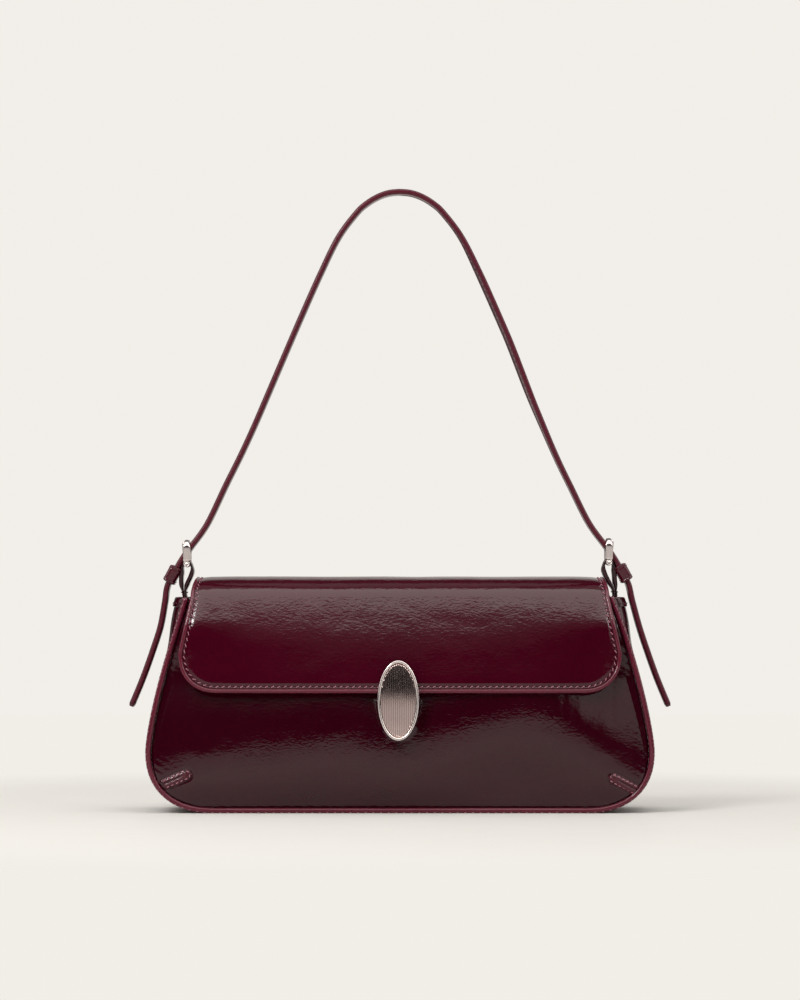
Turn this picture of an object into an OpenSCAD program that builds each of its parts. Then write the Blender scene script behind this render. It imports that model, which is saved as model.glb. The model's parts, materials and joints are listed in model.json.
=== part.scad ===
// Flap shoulder bag in patent leather: a body of bulging panels with piped seams, a rolled flap with an
// oval plate closure, and a narrow strap that runs through a buckle at each side.
// X runs along the bag, Y towards its back and Z up. The origin is the centre of the base.

/* [Body] */
// Width across the piping where the bottom corners are widest
bag_w = 280; // [250:1:320]
// Length of the flat part of the base
base_flat_w = 204; // [180:1:220]
// Height of the rounded bottom corners
corner_h = 34; // [26:1:40]
// Width across the piping at the mouth
mouth_w = 238; // [225:1:250]
// Height of the mouth, where the panels end
mouth_h = 118; // [108:1:130]
// Depth between the two seams at the base
base_d = 58; // [50:1:70]
// Depth between the two seams at the mouth
mouth_d = 38; // [34:1:44]
// How far the front panel bulges out of its seam
front_belly = 8.5; // [4:0.5:12]
// How far the back panel bulges out of its seam
back_belly = 6; // [3:0.5:10]
// How far the side gussets bow out at the mouth
gusset_bow = 5; // [3:0.5:6]
// Thickness of the body leather
leather_t = 1.4; // [1:0.1:1.8]
// Diameter of the piping in the seams
piping_d = 3; // [2.4:0.1:3.6]

/* [Inside] */
// Thickness of the lining
lining_t = 0.8; // [0.5:0.1:1.2]
// Height of the leather facing inside the mouth
facing_h = 16; // [10:1:24]
// Thickness of the facing
facing_t = 1; // [0.8:0.1:1.4]
// Thickness of the board in the base
board_t = 1.5; // [1:0.1:2.5]
// Width of the slip pocket
pocket_w = 150; // [100:1:170]
// Height of the slip pocket
pocket_h = 58; // [40:1:64]

/* [Flap] */
// Height of the flap's front edge above the base
lip_h = 66; // [60:1:76]
// Rise of the flap's roll above the mouth
roll_rise = 11.8; // [9:0.2:15]
// How far each end of the flap's seam lies in from the piping at the mouth
flap_set_in = 5.5; // [5:0.5:12]
// How far each end of the flap spreads out between the seam and its rounded corners
flap_spread = 8.5; // [4:0.5:10]
// Radius of the flap's corners
flap_r = 22; // [14:1:28]
// Thickness of the whole flap
flap_t = 2.6; // [2.2:0.1:3.2]
// Gap between the flap and the front panel
flap_gap = 1.2; // [1:0.1:2]

/* [Closure] */
// Width of the oval plate
plate_w = 22.8; // [18:0.2:28]
// Length of the oval plate
plate_l = 44; // [36:0.5:48]
// Thickness of the oval plate at its rim
plate_t = 3.4; // [2.8:0.1:4.4]
// Number of flutes across the plate's face
flutes = 19; // [11:1:25]
// How far the plate's centre hangs below the flap's edge
plate_hang = 5.3; // [3:0.1:8]
// Radius of the magnet
magnet_r = 5.5; // [4:0.1:6.5]
// Depth of the cup that holds the magnet
cup_h = 2.6; // [2.4:0.1:3.4]
// Height of the striker that the magnet meets, above the front panel
striker_t = 1.4; // [1.2:0.1:2]
// Angle that the plate leans back from upright
plate_tilt = 3.5; // [1:0.5:5]

/* [Strap] */
// Width of the strap
strap_w = 12; // [9:0.5:14]
// Thickness of the strap
strap_t = 2.8; // [2.2:0.1:3]
// Height of the strap's highest point above the buckle bars
strap_rise = 207.3; // [160:0.1:260]
// How far each buckle lies in from the piping at the mouth
buckle_set_in = 1.5; // [1:0.1:1.8]
// Height of the buckles' heel bars above the mouth
buckle_rise = 18.9; // [18:0.1:24]
// Drop of each loose strap end below its buckle
tail_drop = 85.6; // [60:0.1:100]
// How far each loose end stands out from its buckle
tail_out = 31.8; // [28:0.1:36]

/* [Buckles] */
// Diameter of the buckle frame's wire
frame_d = 2.8; // [2.2:0.1:3.2]
// Play of the strap between the heel bar's loop and the frame's outer bar
buckle_play = 0.4; // [0.2:0.1:1.5]
// Diameter of the heel bar
heel_d = 2; // [1.6:0.1:2.2]
// Thickness of the leather that loops round the heel bar
chape_t = 1.2; // [0.9:0.1:1.2]
// Length of the keeper loop along the strap
keeper_l = 9; // [6:0.5:9.5]
// Thickness of the keeper
keeper_t = 1.2; // [0.9:0.1:1.2]

/* [Hidden] */
$fn = 48;

burgundy = "#4a0f20";
burgundy_light = "#6b2438";
lining_red = "#5d2a33";
nickel = "#b8b0a8";

seam_gap = 0.15;
overrun = 1;
piping_r = piping_d / 2;
panel_inset = piping_d + seam_gap;
corner_power = 2.3;
side_power = 1.39;
depth_power = 1.3;
bulge_low_power = 1.3;
bulge_high_power = 1.5;
across_power = 3;
across_root = 0.75;
stiff_drop = 6;
stiff_h = mouth_h - stiff_drop;
across_cells = 18;
corner_cells = 6;
side_cells = 9;

// Shared shapes
function ease(t) = let(c = min(1, max(0, t))) c * c * (3 - 2 * c);
function blend(a, b, t) = a + (b - a) * t;
function flatten(rows) = [for (row = rows) each row];

// Half width at height z of an outline with superellipse corners, drawn in by e
function corner_w(z, e, low, tall, flat, reach) =
    flat + (reach - e) * pow(max(0, 1 - pow(max(0, low + tall - z) / (tall - e), corner_power)),
    1 / corner_power);

// Half width of the body's outline at height z, drawn in by e
function half_w(z, e) = z < corner_h
    ? corner_w(z, e, 0, corner_h, base_flat_w / 2, (bag_w - base_flat_w) / 2)
    : bag_w / 2 - e - (bag_w - mouth_w) / 2 * pow((z - corner_h) / (mouth_h - corner_h), side_power);

// Half depth of the body at its seams
function seam_d(z) = let(rise = min(1, max(0, z - corner_h) / (mouth_h - corner_h)))
    (base_d - (base_d - mouth_d) * pow(rise, depth_power)) / 2;

// Bulge of a panel, as a share, by height and across its width
bulge_peak = bulge_low_power / (bulge_low_power + bulge_high_power);
bulge_norm = pow(bulge_peak, bulge_low_power) * pow(1 - bulge_peak, bulge_high_power);
function bulge_up(z) = let(t = min(1, max(0, (z - panel_inset) / (stiff_h - panel_inset))))
    pow(t, bulge_low_power) * pow(1 - t, bulge_high_power) / bulge_norm;
function bulge_across(x, z) = let(s = min(1, abs(x) / half_w(max(z, panel_inset), panel_inset)))
    pow(max(0, 1 - pow(s, across_power)), across_root);
function panel_d(x, z, belly) = seam_d(z) + belly * bulge_up(z) * bulge_across(x, z);

// Heights of the rows of a panel, close together round the corners
function rows_up(e) = concat(
    [for (i = [0 : corner_cells - 1])
        corner_h - (corner_h - e) * pow(cos(90 * i / corner_cells), 2 / corner_power)],
    [for (i = [0 : side_cells]) blend(corner_h, mouth_h, i / side_cells)]);

// Closed shell between two grids of points with the same rows and columns
module shell(outer, inner) {
    rows = len(outer);
    cols = len(outer[0]);
    n = rows * cols;
    function at(r, c, side) = side * n + r * cols + c;
    function quad(a, b, c, d) = [[a, b, c], [a, c, d]];
    skins = [for (r = [0 : rows - 2]) for (c = [0 : cols - 2]) each concat(
        quad(at(r, c, 0), at(r + 1, c, 0), at(r + 1, c + 1, 0), at(r, c + 1, 0)),
        quad(at(r, c, 1), at(r, c + 1, 1), at(r + 1, c + 1, 1), at(r + 1, c, 1)))];
    ends = [for (c = [0 : cols - 2]) each concat(
        quad(at(0, c, 0), at(0, c + 1, 0), at(0, c + 1, 1), at(0, c, 1)),
        quad(at(rows - 1, c, 0), at(rows - 1, c, 1), at(rows - 1, c + 1, 1), at(rows - 1, c + 1, 0)))];
    sides = [for (r = [0 : rows - 2]) each concat(
        quad(at(r, 0, 0), at(r, 0, 1), at(r + 1, 0, 1), at(r + 1, 0, 0)),
        quad(at(r, cols - 1, 0), at(r + 1, cols - 1, 0), at(r + 1, cols - 1, 1), at(r, cols - 1, 1)))];
    polyhedron(concat(flatten(outer), flatten(inner)), concat(skins, ends, sides));
}

// Round tube along a path; side_axis is square to the path's plane
module tube(path, radius, side_axis, sides) {
    last = len(path) - 1;
    function unit(v) = v / norm(v);
    function along(i) = unit(path[min(i + 1, last)] - path[max(i - 1, 0)]);
    rings = [for (i = [0 : last]) let(n = unit(cross(along(i), side_axis)), b = cross(n, along(i)))
        [for (k = [0 : sides - 1]) let(a = 360 * (k + 0.5) / sides)
            path[i] + radius * (cos(a) * n + sin(a) * b)]];
    skin = [for (i = [0 : last - 1]) for (k = [0 : sides - 1])
        let(j = (k + 1) % sides, a = i * sides, b = (i + 1) * sides)
        each [[a + k, a + j, b + j], [a + k, b + j, b + k]]];
    caps = [[for (k = [sides - 1 : -1 : 0]) k], [for (k = [0 : sides - 1]) last * sides + k]];
    polyhedron(flatten(rings), concat(skin, caps));
}

// Smooth curve through points, with steps samples on each stretch
function spline(p, steps) = let(last = len(p) - 1) concat([for (i = [0 : last - 1])
    let(a = p[max(i - 1, 0)], b = p[i], c = p[i + 1], d = p[min(i + 2, last)])
    for (k = [0 : steps - 1]) let(t = k / steps)
    0.5 * (2 * b + (c - a) * t + (2 * a - 5 * b + 4 * c - d) * t * t + (3 * b - a - 3 * c + d) * t * t * t)],
    [p[last]]);

// Band of a given thickness beside a 2D curve, from offset low to offset high
function edge(curve, offset) = let(last = len(curve) - 1) [for (i = [0 : last])
    let(t = curve[min(i + 1, last)] - curve[max(i - 1, 0)], n = [-t[1], t[0]] / norm(t))
    curve[i] + offset * n];
function reversed(list) = [for (i = [len(list) - 1 : -1 : 0]) list[i]];
function band(curve, low, high) = concat(edge(curve, low), reversed(edge(curve, high)));

// Both ends of the bag are alike, so the left pieces are the right ones turned half round
module at_end(right) {
    rotate([0, 0, right ? 0 : 180]) children();
}

// Extrudes an XZ outline along Y, centred on Y = 0
module slab(outline, width) {
    translate([0, width / 2, 0]) rotate([90, 0, 0]) linear_extrude(width) polygon(outline);
}

// Body
function panel_grid(side, belly, depth) = [for (z = rows_up(panel_inset)) [for (j = [0 : across_cells])
    let(x = side * (2 * j / across_cells - 1) * half_w(z, panel_inset))
    [x, side * (panel_d(x, z, belly) - depth), z]]];

plate_z = lip_h - plate_hang;
cup_down_share = 0.25;
striker_h = plate_z - cup_down_share * plate_l;
post_r = 2;
hole_gap = 0.2;

module front_panel() {
    color(burgundy) difference() {
        shell(panel_grid(-1, front_belly, 0), panel_grid(-1, front_belly, leather_t));
        translate([0, -panel_d(0, striker_h, front_belly) - overrun, striker_h]) rotate([-90, 0, 0])
            cylinder(r = post_r + hole_gap, h = leather_t + 2 * overrun);
    }
}

module back_panel() {
    color(burgundy) shell(panel_grid(1, back_belly, 0), panel_grid(1, back_belly, leather_t));
}

gusset_edge = piping_r + seam_gap;

module base_panel() {
    width = base_d - 2 * gusset_edge;
    color(burgundy) translate([-base_flat_w / 2, -width / 2, 0]) cube([base_flat_w, width, leather_t]);
}

// Gusset surface: rises from the base's end, round the corner and up to the mouth, drawn in by e
bow_start_share = 0.66;
gusset_cells = 6;
function bow(z) = gusset_bow * ease((z / mouth_h - bow_start_share) / (1 - bow_start_share));
function gusset_point(z, s, e) = let(w = seam_d(z) - gusset_edge)
    [half_w(z, e) + bow(z) * (1 - s * s), s * w, z];
function gusset_grid(e) = [for (z = rows_up(e))
    [for (j = [0 : gusset_cells]) gusset_point(z, 2 * j / gusset_cells - 1, e)]];

module gusset(right) {
    color(burgundy) at_end(right) shell(gusset_grid(0), gusset_grid(leather_t));
}

band_t = 1.1;
band_drop = 4.6;
band_lift = 0.6;
function band_row(z, out) = [for (j = [0 : gusset_cells])
    let(p = gusset_point(min(z, mouth_h), 2 * j / gusset_cells - 1, 0)) [p[0] + out, p[1], z]];
function band_grid(out) = [for (z = [mouth_h - band_drop, mouth_h, mouth_h + band_lift]) band_row(z, out)];

module gusset_band(right) {
    color(burgundy_light) at_end(right) shell(band_grid(seam_gap + band_t), band_grid(seam_gap));
}

function piping_path(side) = let(up = rows_up(piping_r),
    right = [for (z = up) [half_w(z, piping_r), side * seam_d(z), z]])
    concat(reversed([for (p = right) [-p[0], p[1], p[2]]]), right);

module piping(side) {
    color(burgundy_light) tube(piping_path(side), piping_r, [0, 1, 0], 8);
}

module base_board() {
    lift = leather_t + seam_gap;
    width = base_d - 2 * gusset_edge - 2 * leather_t;
    color("tan") translate([-base_flat_w / 2 + overrun, -width / 2, lift])
        cube([base_flat_w - 2 * overrun, width, board_t]);
}

// Inside
lining_gap = 0.3;
lining_inset = panel_inset + leather_t + lining_gap;
lining_floor = leather_t + board_t + 2 * lining_gap;
lining_top = mouth_h - facing_h - lining_gap;
lining_square = 0.35;
lining_slack = panel_inset + lining_gap;
lining_rows = 8;
lining_points = 32;
bulge_share = 0.5;

function lining_d(z, belly) = seam_d(z) - lining_slack + bulge_share * belly * bulge_up(z);
function squared(v) = sign(v) * pow(abs(v), lining_square);
function lining_ring(i, e) = let(t = i / lining_rows,
    z = blend(lining_floor + e, lining_top, t * t),
    w = half_w(max(z, panel_inset), lining_inset + e)) [for (k = [0 : lining_points - 1])
    let(a = 360 * (k + 0.5) / lining_points, belly = sin(a) < 0 ? front_belly : back_belly)
    [w * squared(cos(a)), (lining_d(z, belly) - e) * squared(sin(a)), z]];

module lining() {
    n = lining_points;
    m = lining_rows + 1;
    outer = [for (i = [0 : lining_rows]) each lining_ring(i, 0)];
    inner = [for (i = [0 : lining_rows]) each lining_ring(i, lining_t)];
    walls = [for (i = [0 : lining_rows - 1]) for (k = [0 : n - 1])
        let(j = (k + 1) % n, a = i * n, b = a + n, c = m * n)
        each [[a + k, b + k, b + j], [a + k, b + j, a + j],
            [c + a + k, c + a + j, c + b + j], [c + a + k, c + b + j, c + b + k]]];
    rim = [for (k = [0 : n - 1]) let(j = (k + 1) % n, a = lining_rows * n, c = m * n)
        each [[a + k, c + a + k, c + a + j], [a + k, c + a + j, a + j]]];
    floors = [[for (k = [0 : n - 1]) k], [for (k = [n - 1 : -1 : 0]) m * n + k]];
    color(lining_red) polyhedron(concat(outer, inner), concat(walls, rim, floors));
}

facing_cells = 10;
facing_rows = 3;
function facing_grid(side, belly, depth) = [for (i = [0 : facing_rows])
    let(z = blend(mouth_h - facing_h, mouth_h, i / facing_rows))
    [for (j = [0 : facing_cells]) let(x = side * (2 * j / facing_cells - 1) * half_w(z, lining_inset))
    [x, side * (panel_d(x, z, belly) - leather_t - lining_gap - depth), z]]];

module facing(side, belly) {
    color(burgundy) shell(facing_grid(side, belly, 0), facing_grid(side, belly, facing_t));
}

pocket_low_share = 0.24;
pocket_gap = 0.7;
pocket_steps = 6;
module slip_pocket() {
    low = mouth_h * pocket_low_share;
    heights = [for (i = [0 : pocket_steps]) low + pocket_h * i / pocket_steps];
    function wall(z, out) = [lining_d(z, back_belly) - lining_t - pocket_gap - out, z];
    outline = concat([for (z = heights) wall(z, 0)], [for (z = reversed(heights)) wall(z, lining_t)]);
    color(lining_red) translate([-pocket_w / 2, 0, 0]) rotate([90, 0, 90])
        linear_extrude(pocket_w) polygon(outline);
}

// Flap: a roll over the mouth that follows a curve, then a front that follows the front panel
fold_share = 0.8;
fold_gap_share = 0.012;
seat_lift = 1.7;
hinge_z = mouth_h + seat_lift;
hinge_y = mouth_d / 2;
flap_off = flap_gap + flap_t / 2;
roll_pull_share = 0.3;
roll_front_y = -mouth_d / 2 - flap_off;
roll_top = mouth_h + roll_rise - flap_t / 2;
// Both inner control points share the height that puts the curve's middle at the roll's top
roll_control_z = (8 * roll_top - hinge_z - mouth_h) / 6;
roll = [[hinge_y, hinge_z], [hinge_y - roll_pull_share * flap_off, roll_control_z],
    [roll_front_y + roll_pull_share * flap_off, roll_control_z], [roll_front_y, mouth_h]];
function roll_point(t) = let(u = 1 - t)
    u * u * u * roll[0] + 3 * u * u * t * roll[1] + 3 * u * t * t * roll[2] + t * t * t * roll[3];
function flap_z(s) = blend(mouth_h, lip_h, s - 1);
function flap_station(z) = 1 + (mouth_h - z) / (mouth_h - lip_h);
function flap_line(x, s) = s <= 1 ? roll_point(s)
    : [-panel_d(x, flap_z(s), front_belly) - flap_off, flap_z(s)];
// Point at offset off outside the flap's middle surface; s is 0 at the seam, 1 at the mouth and 2 at the lip
probe_share = 0.002;
function flap_point(x, s, off) = let(a = flap_line(x, s - probe_share), b = flap_line(x, s + probe_share),
    t = (b - a) / norm(b - a), p = flap_line(x, s)) [x, p[0] + off * t[1], p[1] - off * t[0]];

flap_corner_top = lip_h + flap_r;
shoulder_share = 0.25;
flap_top_half_w = mouth_w / 2 - flap_set_in;
flap_half = flap_top_half_w + flap_spread;
function flap_half_w(s, e) = let(z = flap_z(s), shoulder = flap_top_half_w + shoulder_share * flap_spread)
    s <= 1 ? blend(flap_top_half_w, shoulder, ease(2 * s - 1)) - e
    : z >= flap_corner_top ? blend(shoulder, flap_half, (mouth_h - z) / (mouth_h - flap_corner_top)) - e
    : corner_w(z, e, lip_h, flap_r, flap_half - flap_r, flap_r);

edging_r = flap_t / 2;
edging_inset = 2 * edging_r + seam_gap / 2;
top_cells = 12;
front_roll_cells = 4;
front_side_cells = 5;
front_corner_cells = 6;
flap_across = 14;
seat_share = 0.02;

top_stations = [for (i = [0 : top_cells]) blend(seat_share, fold_share - fold_gap_share, i / top_cells)];
function front_stations(e) = concat(
    [for (i = [0 : front_roll_cells - 1]) blend(fold_share + fold_gap_share, 1, i / front_roll_cells)],
    [for (i = [0 : front_side_cells - 1]) blend(1, flap_station(flap_corner_top), i / front_side_cells)],
    [for (i = [0 : front_corner_cells])
        let(share = pow(sin(90 * i / front_corner_cells), 2 / corner_power))
        flap_station(flap_corner_top - (flap_r - e) * share)]);

function flap_grid(stations, e, off) = [for (s = stations) [for (j = [0 : flap_across])
    flap_point((1 - 2 * j / flap_across) * flap_half_w(s, e), s, off)]];

// Offsets of the layers from the flap's middle surface
leather_low_share = 0.05;
board_high_share = 0.03;
board_low_share = 0.17;
lining_high_share = 0.19;

module flap_layer(stations, e, high, low) {
    shell(flap_grid(stations, e, high * flap_t), flap_grid(stations, e, low * flap_t));
}

screw_spread_share = 0.24;
screw_r = 1;
backing_w = 15;
backing_h = 9;
backing_margin = 1.6;
plate_gap = 0.2;
plate_top_z = plate_z + plate_l / 2;
plate_probes = 6;
cup_gap = 0.3;
// Distance from the bag's middle to the plate's back where it carries the magnet's cup
cup_back = panel_d(0, striker_h, front_belly) + striker_t + cup_gap + cup_h;
// The plate leans back by its tilt, or by less where it would meet the flap
flap_leans = [for (i = [0 : plate_probes])
    let(z = blend(lip_h, plate_top_z, i / plate_probes))
    (cup_back - panel_d(0, z, front_belly) - flap_gap - flap_t - plate_gap) / (z - striker_h)];
plate_lean = min(tan(plate_tilt), min(flap_leans));
closure_tilt = atan(plate_lean);
plate_back_y = (plate_z - striker_h) * plate_lean - cup_back;
// The screws and their backing stand above the flap's edging, with a strip of board below them
screw_z = lip_h + edging_inset + backing_margin + backing_h / 2;
screw_up = (screw_z - plate_z) / cos(closure_tilt);

// Puts children in the plate's own frame: X across, Y up the plate, Z out of its back plane
module on_plate() {
    translate([0, plate_back_y, plate_z]) rotate([90 - closure_tilt, 0, 0]) children();
}

module at_screws() {
    for (side = [-1, 1]) translate([side * screw_spread_share * plate_w, screw_up, 0]) children();
}

module screw_holes() {
    depth = 3 * flap_t;
    on_plate() at_screws() translate([0, 0, -depth]) cylinder(r = screw_r + hole_gap, h = depth);
}

module flap_top_leather() {
    color(burgundy) flap_layer(top_stations, edging_inset, 0.5, leather_low_share);
}

module flap_top_lining() {
    color(lining_red) flap_layer(top_stations, edging_inset, -leather_low_share, -0.5);
}

module flap_top_edging() {
    color(burgundy_light) for (side = [-1, 1])
        tube([for (s = top_stations) flap_point(side * flap_half_w(s, edging_r), s, 0)],
            edging_r, [1, 0, 0], 8);
}

module flap_front_leather() {
    color(burgundy) difference() {
        flap_layer(front_stations(edging_inset), edging_inset, 0.5, leather_low_share);
        screw_holes();
    }
}

module flap_front_board() {
    color("tan") difference() {
        flap_layer(front_stations(edging_inset), edging_inset, board_high_share, -board_low_share);
        backing_outline(hole_gap);
    }
}

module flap_front_lining() {
    color(lining_red) difference() {
        flap_layer(front_stations(edging_inset), edging_inset, -lining_high_share, -0.5);
        screw_holes();
    }
}

module flap_front_edging() {
    stations = front_stations(edging_r);
    last = stations[len(stations) - 1];
    right = [for (s = stations) flap_point(flap_half_w(s, edging_r), s, 0)];
    lip = [for (j = [1 : flap_across - 1])
        flap_point((1 - 2 * j / flap_across) * flap_half_w(last, edging_r), last, 0)];
    color(burgundy_light)
        tube(concat(right, lip, reversed([for (p = right) [-p[0], p[1], p[2]]])), edging_r, [0, 1, 0], 8);
}

// Closure
oval_points = 40;
rim_w = 1.7;
rim_gap = 0.05;
flute_depth_share = 0.3;
face_drop = 0.5;
plate_floor = 1.1;
cup_wall = 0.9;
striker_r = magnet_r + cup_wall;
washer_t = 0.6;

function oval(w, l) = [for (k = [0 : oval_points - 1])
    let(a = 360 * k / oval_points) [w / 2 * cos(a), l / 2 * sin(a)]];

module closure_rim() {
    color(nickel) on_plate() difference() {
        linear_extrude(plate_t) polygon(oval(plate_w, plate_l));
        translate([0, 0, plate_floor])
            linear_extrude(plate_t) polygon(oval(plate_w - 2 * rim_w, plate_l - 2 * rim_w));
    }
}

module fluted_plate() {
    w = plate_w - 2 * rim_w - 2 * rim_gap;
    l = plate_l - 2 * rim_w - 2 * rim_gap;
    low = plate_floor + rim_gap;
    high = plate_t - face_drop;
    pitch = w / flutes;
    crests = [for (k = [0 : 2 * flutes])
        [k * pitch / 2 - w / 2, k % 2 == 0 ? high - flute_depth_share * pitch : high]];
    color(nickel) on_plate() intersection() {
        translate([0, 0, low]) linear_extrude(high) polygon(oval(w, l));
        translate([0, l / 2 + overrun, 0]) rotate([90, 0, 0]) linear_extrude(l + 2 * overrun)
            polygon(concat([[-w / 2, 0]], crests, [[w / 2, 0]]));
    }
}

// Distance from the plate's back plane to the flap's middle surface beside the screws
screw_reach = -plate_back_y - screw_up * sin(closure_tilt) - panel_d(0, screw_z, front_belly) - flap_off;

module backing_outline(grow) {
    station = flap_station(screw_z);
    rise = (backing_h / 2 + grow) / (mouth_h - lip_h);
    half = backing_w / 2 + grow;
    steps = 3;
    function grid(off) = [for (i = [0 : steps]) [for (x = [half, -half])
        flap_point(x, station - rise + 2 * rise * i / steps, off)]];
    shell(grid(board_high_share * flap_t + grow), grid(-board_low_share * flap_t - grow));
}

module closure_backing() {
    color(nickel) difference() {
        backing_outline(0);
        screw_holes();
    }
}

module closure_screws() {
    length = screw_reach + board_low_share * flap_t / 2;
    color(nickel) on_plate() at_screws() translate([0, 0, -length]) cylinder(r = screw_r, h = length);
}

cup_y = (striker_h - plate_z) / cos(closure_tilt);
// Furthest out and in that the panel's outer face lies behind the striker
striker_spots = [for (d = [-1, 0, 1]) panel_d(0, striker_h + d * striker_r, front_belly)];
striker_out = max(striker_spots) + seam_gap;
washer_in = min(striker_spots) - leather_t - seam_gap;

module magnet_cup() {
    color(nickel) on_plate() translate([0, cup_y, -cup_h]) difference() {
        cylinder(r = magnet_r + cup_wall, h = cup_h);
        translate([0, 0, -overrun]) cylinder(r = magnet_r + rim_gap, h = cup_h - cup_wall + overrun);
    }
}

module magnet() {
    color("dimgray") on_plate() translate([0, cup_y, -cup_h])
        cylinder(r = magnet_r, h = cup_h - cup_wall - rim_gap);
}

module striker_plate() {
    color(nickel) difference() {
        translate([0, -striker_out, striker_h]) rotate([90, 0, 0])
            cylinder(r = striker_r, h = striker_t + cup_gap + cup_h);
        on_plate() translate([-plate_w, -plate_l, -cup_h - cup_gap])
            cube([2 * plate_w, 2 * plate_l, 2 * plate_l]);
    }
    color(nickel) translate([0, washer_t - washer_in, striker_h]) rotate([90, 0, 0])
        cylinder(r = post_r, h = striker_out - washer_in + washer_t);
}

module striker_washer() {
    color(nickel) translate([0, washer_t - washer_in, striker_h]) rotate([90, 0, 0])
        difference() {
            cylinder(r = striker_r - cup_wall, h = washer_t);
            translate([0, 0, -overrun]) cylinder(r = post_r + rim_gap, h = washer_t + 2 * overrun);
        }
}

// Strap: one long band through both buckles, its ends hanging free
buckle_x = mouth_w / 2 - buckle_set_in;
heel_z = mouth_h + buckle_rise;
heel_r = heel_d / 2;
side_gap = 0.5;
frame_r = frame_d / 2;
bar_fit = 0.06;
chape_in = heel_r + bar_fit;
chape_out = chape_in + chape_t;
strap_gap = 0.25;
cross_angle = 54;
// The strap slants through its buckle, just clear of the loop round the heel bar
cross_rise = (chape_out + strap_gap + strap_t / 2) / cos(cross_angle);
cross_z = heel_z + cross_rise;
frame_h = cross_rise + (frame_r + strap_t / 2 + buckle_play) / cos(cross_angle);
arch_shares = [[0, 1], [0.052, 0.997], [0.103, 0.987], [0.156, 0.969], [0.206, 0.943],
    [0.292, 0.877], [0.377, 0.779], [0.472, 0.658], [0.557, 0.546], [0.66, 0.409], [0.748, 0.293],
    [0.82, 0.207], [0.906, 0.106]];
tail_shares = [[0.137, 0.077], [0.241, 0.149], [0.345, 0.222], [0.398, 0.327], [0.491, 0.483],
    [0.627, 0.64], [0.799, 0.819], [1, 1]];
cross_run = 3;

arch = [for (s = arch_shares) [s[0] * buckle_x, heel_z + s[1] * strap_rise]];
crossing = [for (d = [-1, 0, 1])
    [buckle_x + d * cross_run * cos(cross_angle), cross_z - d * cross_run * sin(cross_angle)]];
tail = [for (s = tail_shares) [buckle_x + s[0] * tail_out, cross_z - s[1] * tail_drop]];
strap_half = spline(concat(arch, crossing, tail), 3);
strap_curve = concat(
    reversed([for (i = [1 : len(strap_half) - 1]) [-strap_half[i][0], strap_half[i][1]]]), strap_half);
strap_leather_share = 0.56;
prong_d = 1.5;
prong_swing = 8;
buckle_swing = 8;
prong_fit = 0.1;
prong_slot_w = prong_d + 2 * strap_gap;
prong_out = frame_r + prong_d / 2 + prong_fit;
prong_lean = atan2(prong_out - heel_r, frame_h);

// Where along the strap the prong's centre passes a surface n outside the strap's middle, when turned by a
function prong_cross(n, a) = let(d = [sin(prong_lean + a), cos(prong_lean + a)],
    start = heel_r * [cos(a), -sin(a)] - [0, cross_rise],
    across = [sin(cross_angle), cos(cross_angle)],
    t = (n - start * across) / (d * across))
    [cos(cross_angle), -sin(cross_angle)] * (start + t * d);
slot_high = prong_cross(strap_t / 2, 0) - prong_d;
slot_low = prong_cross(-strap_t / 2, prong_swing + buckle_swing) + prong_d;

module prong_slots() {
    for (right = [false, true]) at_end(right) translate([buckle_x, 0, cross_z]) rotate([0, cross_angle, 0])
        translate([slot_high, -prong_slot_w / 2, -strap_t])
            cube([slot_low - slot_high, prong_slot_w, 2 * strap_t]);
}

module strap_layer(low, high) {
    difference() {
        slab(band(strap_curve, low, high), strap_w);
        prong_slots();
    }
}

module strap_leather() {
    color(burgundy) strap_layer((0.5 - strap_leather_share) * strap_t, strap_t / 2);
}

module strap_lining() {
    color(burgundy_light) strap_layer(-strap_t / 2, (0.5 - strap_leather_share) * strap_t);
}

// Chape: leather loop over the heel bar whose joined legs go down inside the mouth
swing_z = mouth_h - strap_w / 2;
chape_join = chape_t + seam_gap / 2;
chape_pinch_share = 0.2;
eye_steps = 10;

// Outline of a drop: a circle of radius r round the bar that narrows to half width w at height low
function drop(r, w, low) = let(far = heel_z - low, lean = atan2(r - w, far))
    concat([[-w, low - heel_z]],
        [for (k = [0 : 2 * eye_steps])
            let(a = 180 + lean - (180 + 2 * lean) * k / (2 * eye_steps)) r * [cos(a), sin(a)]],
        [[w, low - heel_z]]);

module chape(right) {
    pinch = swing_z + strap_w / 2 + chape_pinch_share * buckle_rise;
    slot = prong_d + 2 * side_gap;
    color(burgundy_light) at_end(right) translate([buckle_x, 0, 0]) difference() {
        intersection() {
            translate([0, 0, heel_z]) slab(concat([[-chape_join, swing_z - strap_w - heel_z]],
                drop(chape_out, chape_join, pinch), [[chape_join, swing_z - strap_w - heel_z]]), strap_w);
            union() {
                translate([-strap_w, 0, swing_z]) rotate([0, 90, 0])
                    cylinder(r = strap_w / 2, h = 2 * strap_w);
                translate([-strap_w, -strap_w / 2, swing_z]) cube([2 * strap_w, strap_w, strap_rise]);
            }
        }
        translate([0, 0, heel_z]) slab(drop(chape_in, seam_gap / 2, pinch), strap_w + 2 * overrun);
        translate([-strap_w, -slot / 2, heel_z - chape_out]) cube([2 * strap_w, slot, strap_w]);
    }
}

// Pad inside each gusset that the chape is sewn against
pad_gap = 0.3;
pad_margin = 1;
pad_rows = 4;
pad_low = swing_z - strap_w / 2;
module anchor_pad(right) {
    half = strap_w / 2 + pad_margin;
    near = buckle_x + chape_join + pad_gap;
    heights = [for (i = [0 : pad_rows]) blend(pad_low, mouth_h - pad_margin, i / pad_rows)];
    function wall(z) = [gusset_point(z, half / (seam_d(z) - gusset_edge), leather_t)[0] - pad_gap, z];
    color(burgundy) at_end(right) slab(concat([[near, pad_low], [near, mouth_h - pad_margin]],
        reversed([for (z = heights) wall(z)])), 2 * half);
}

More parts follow.
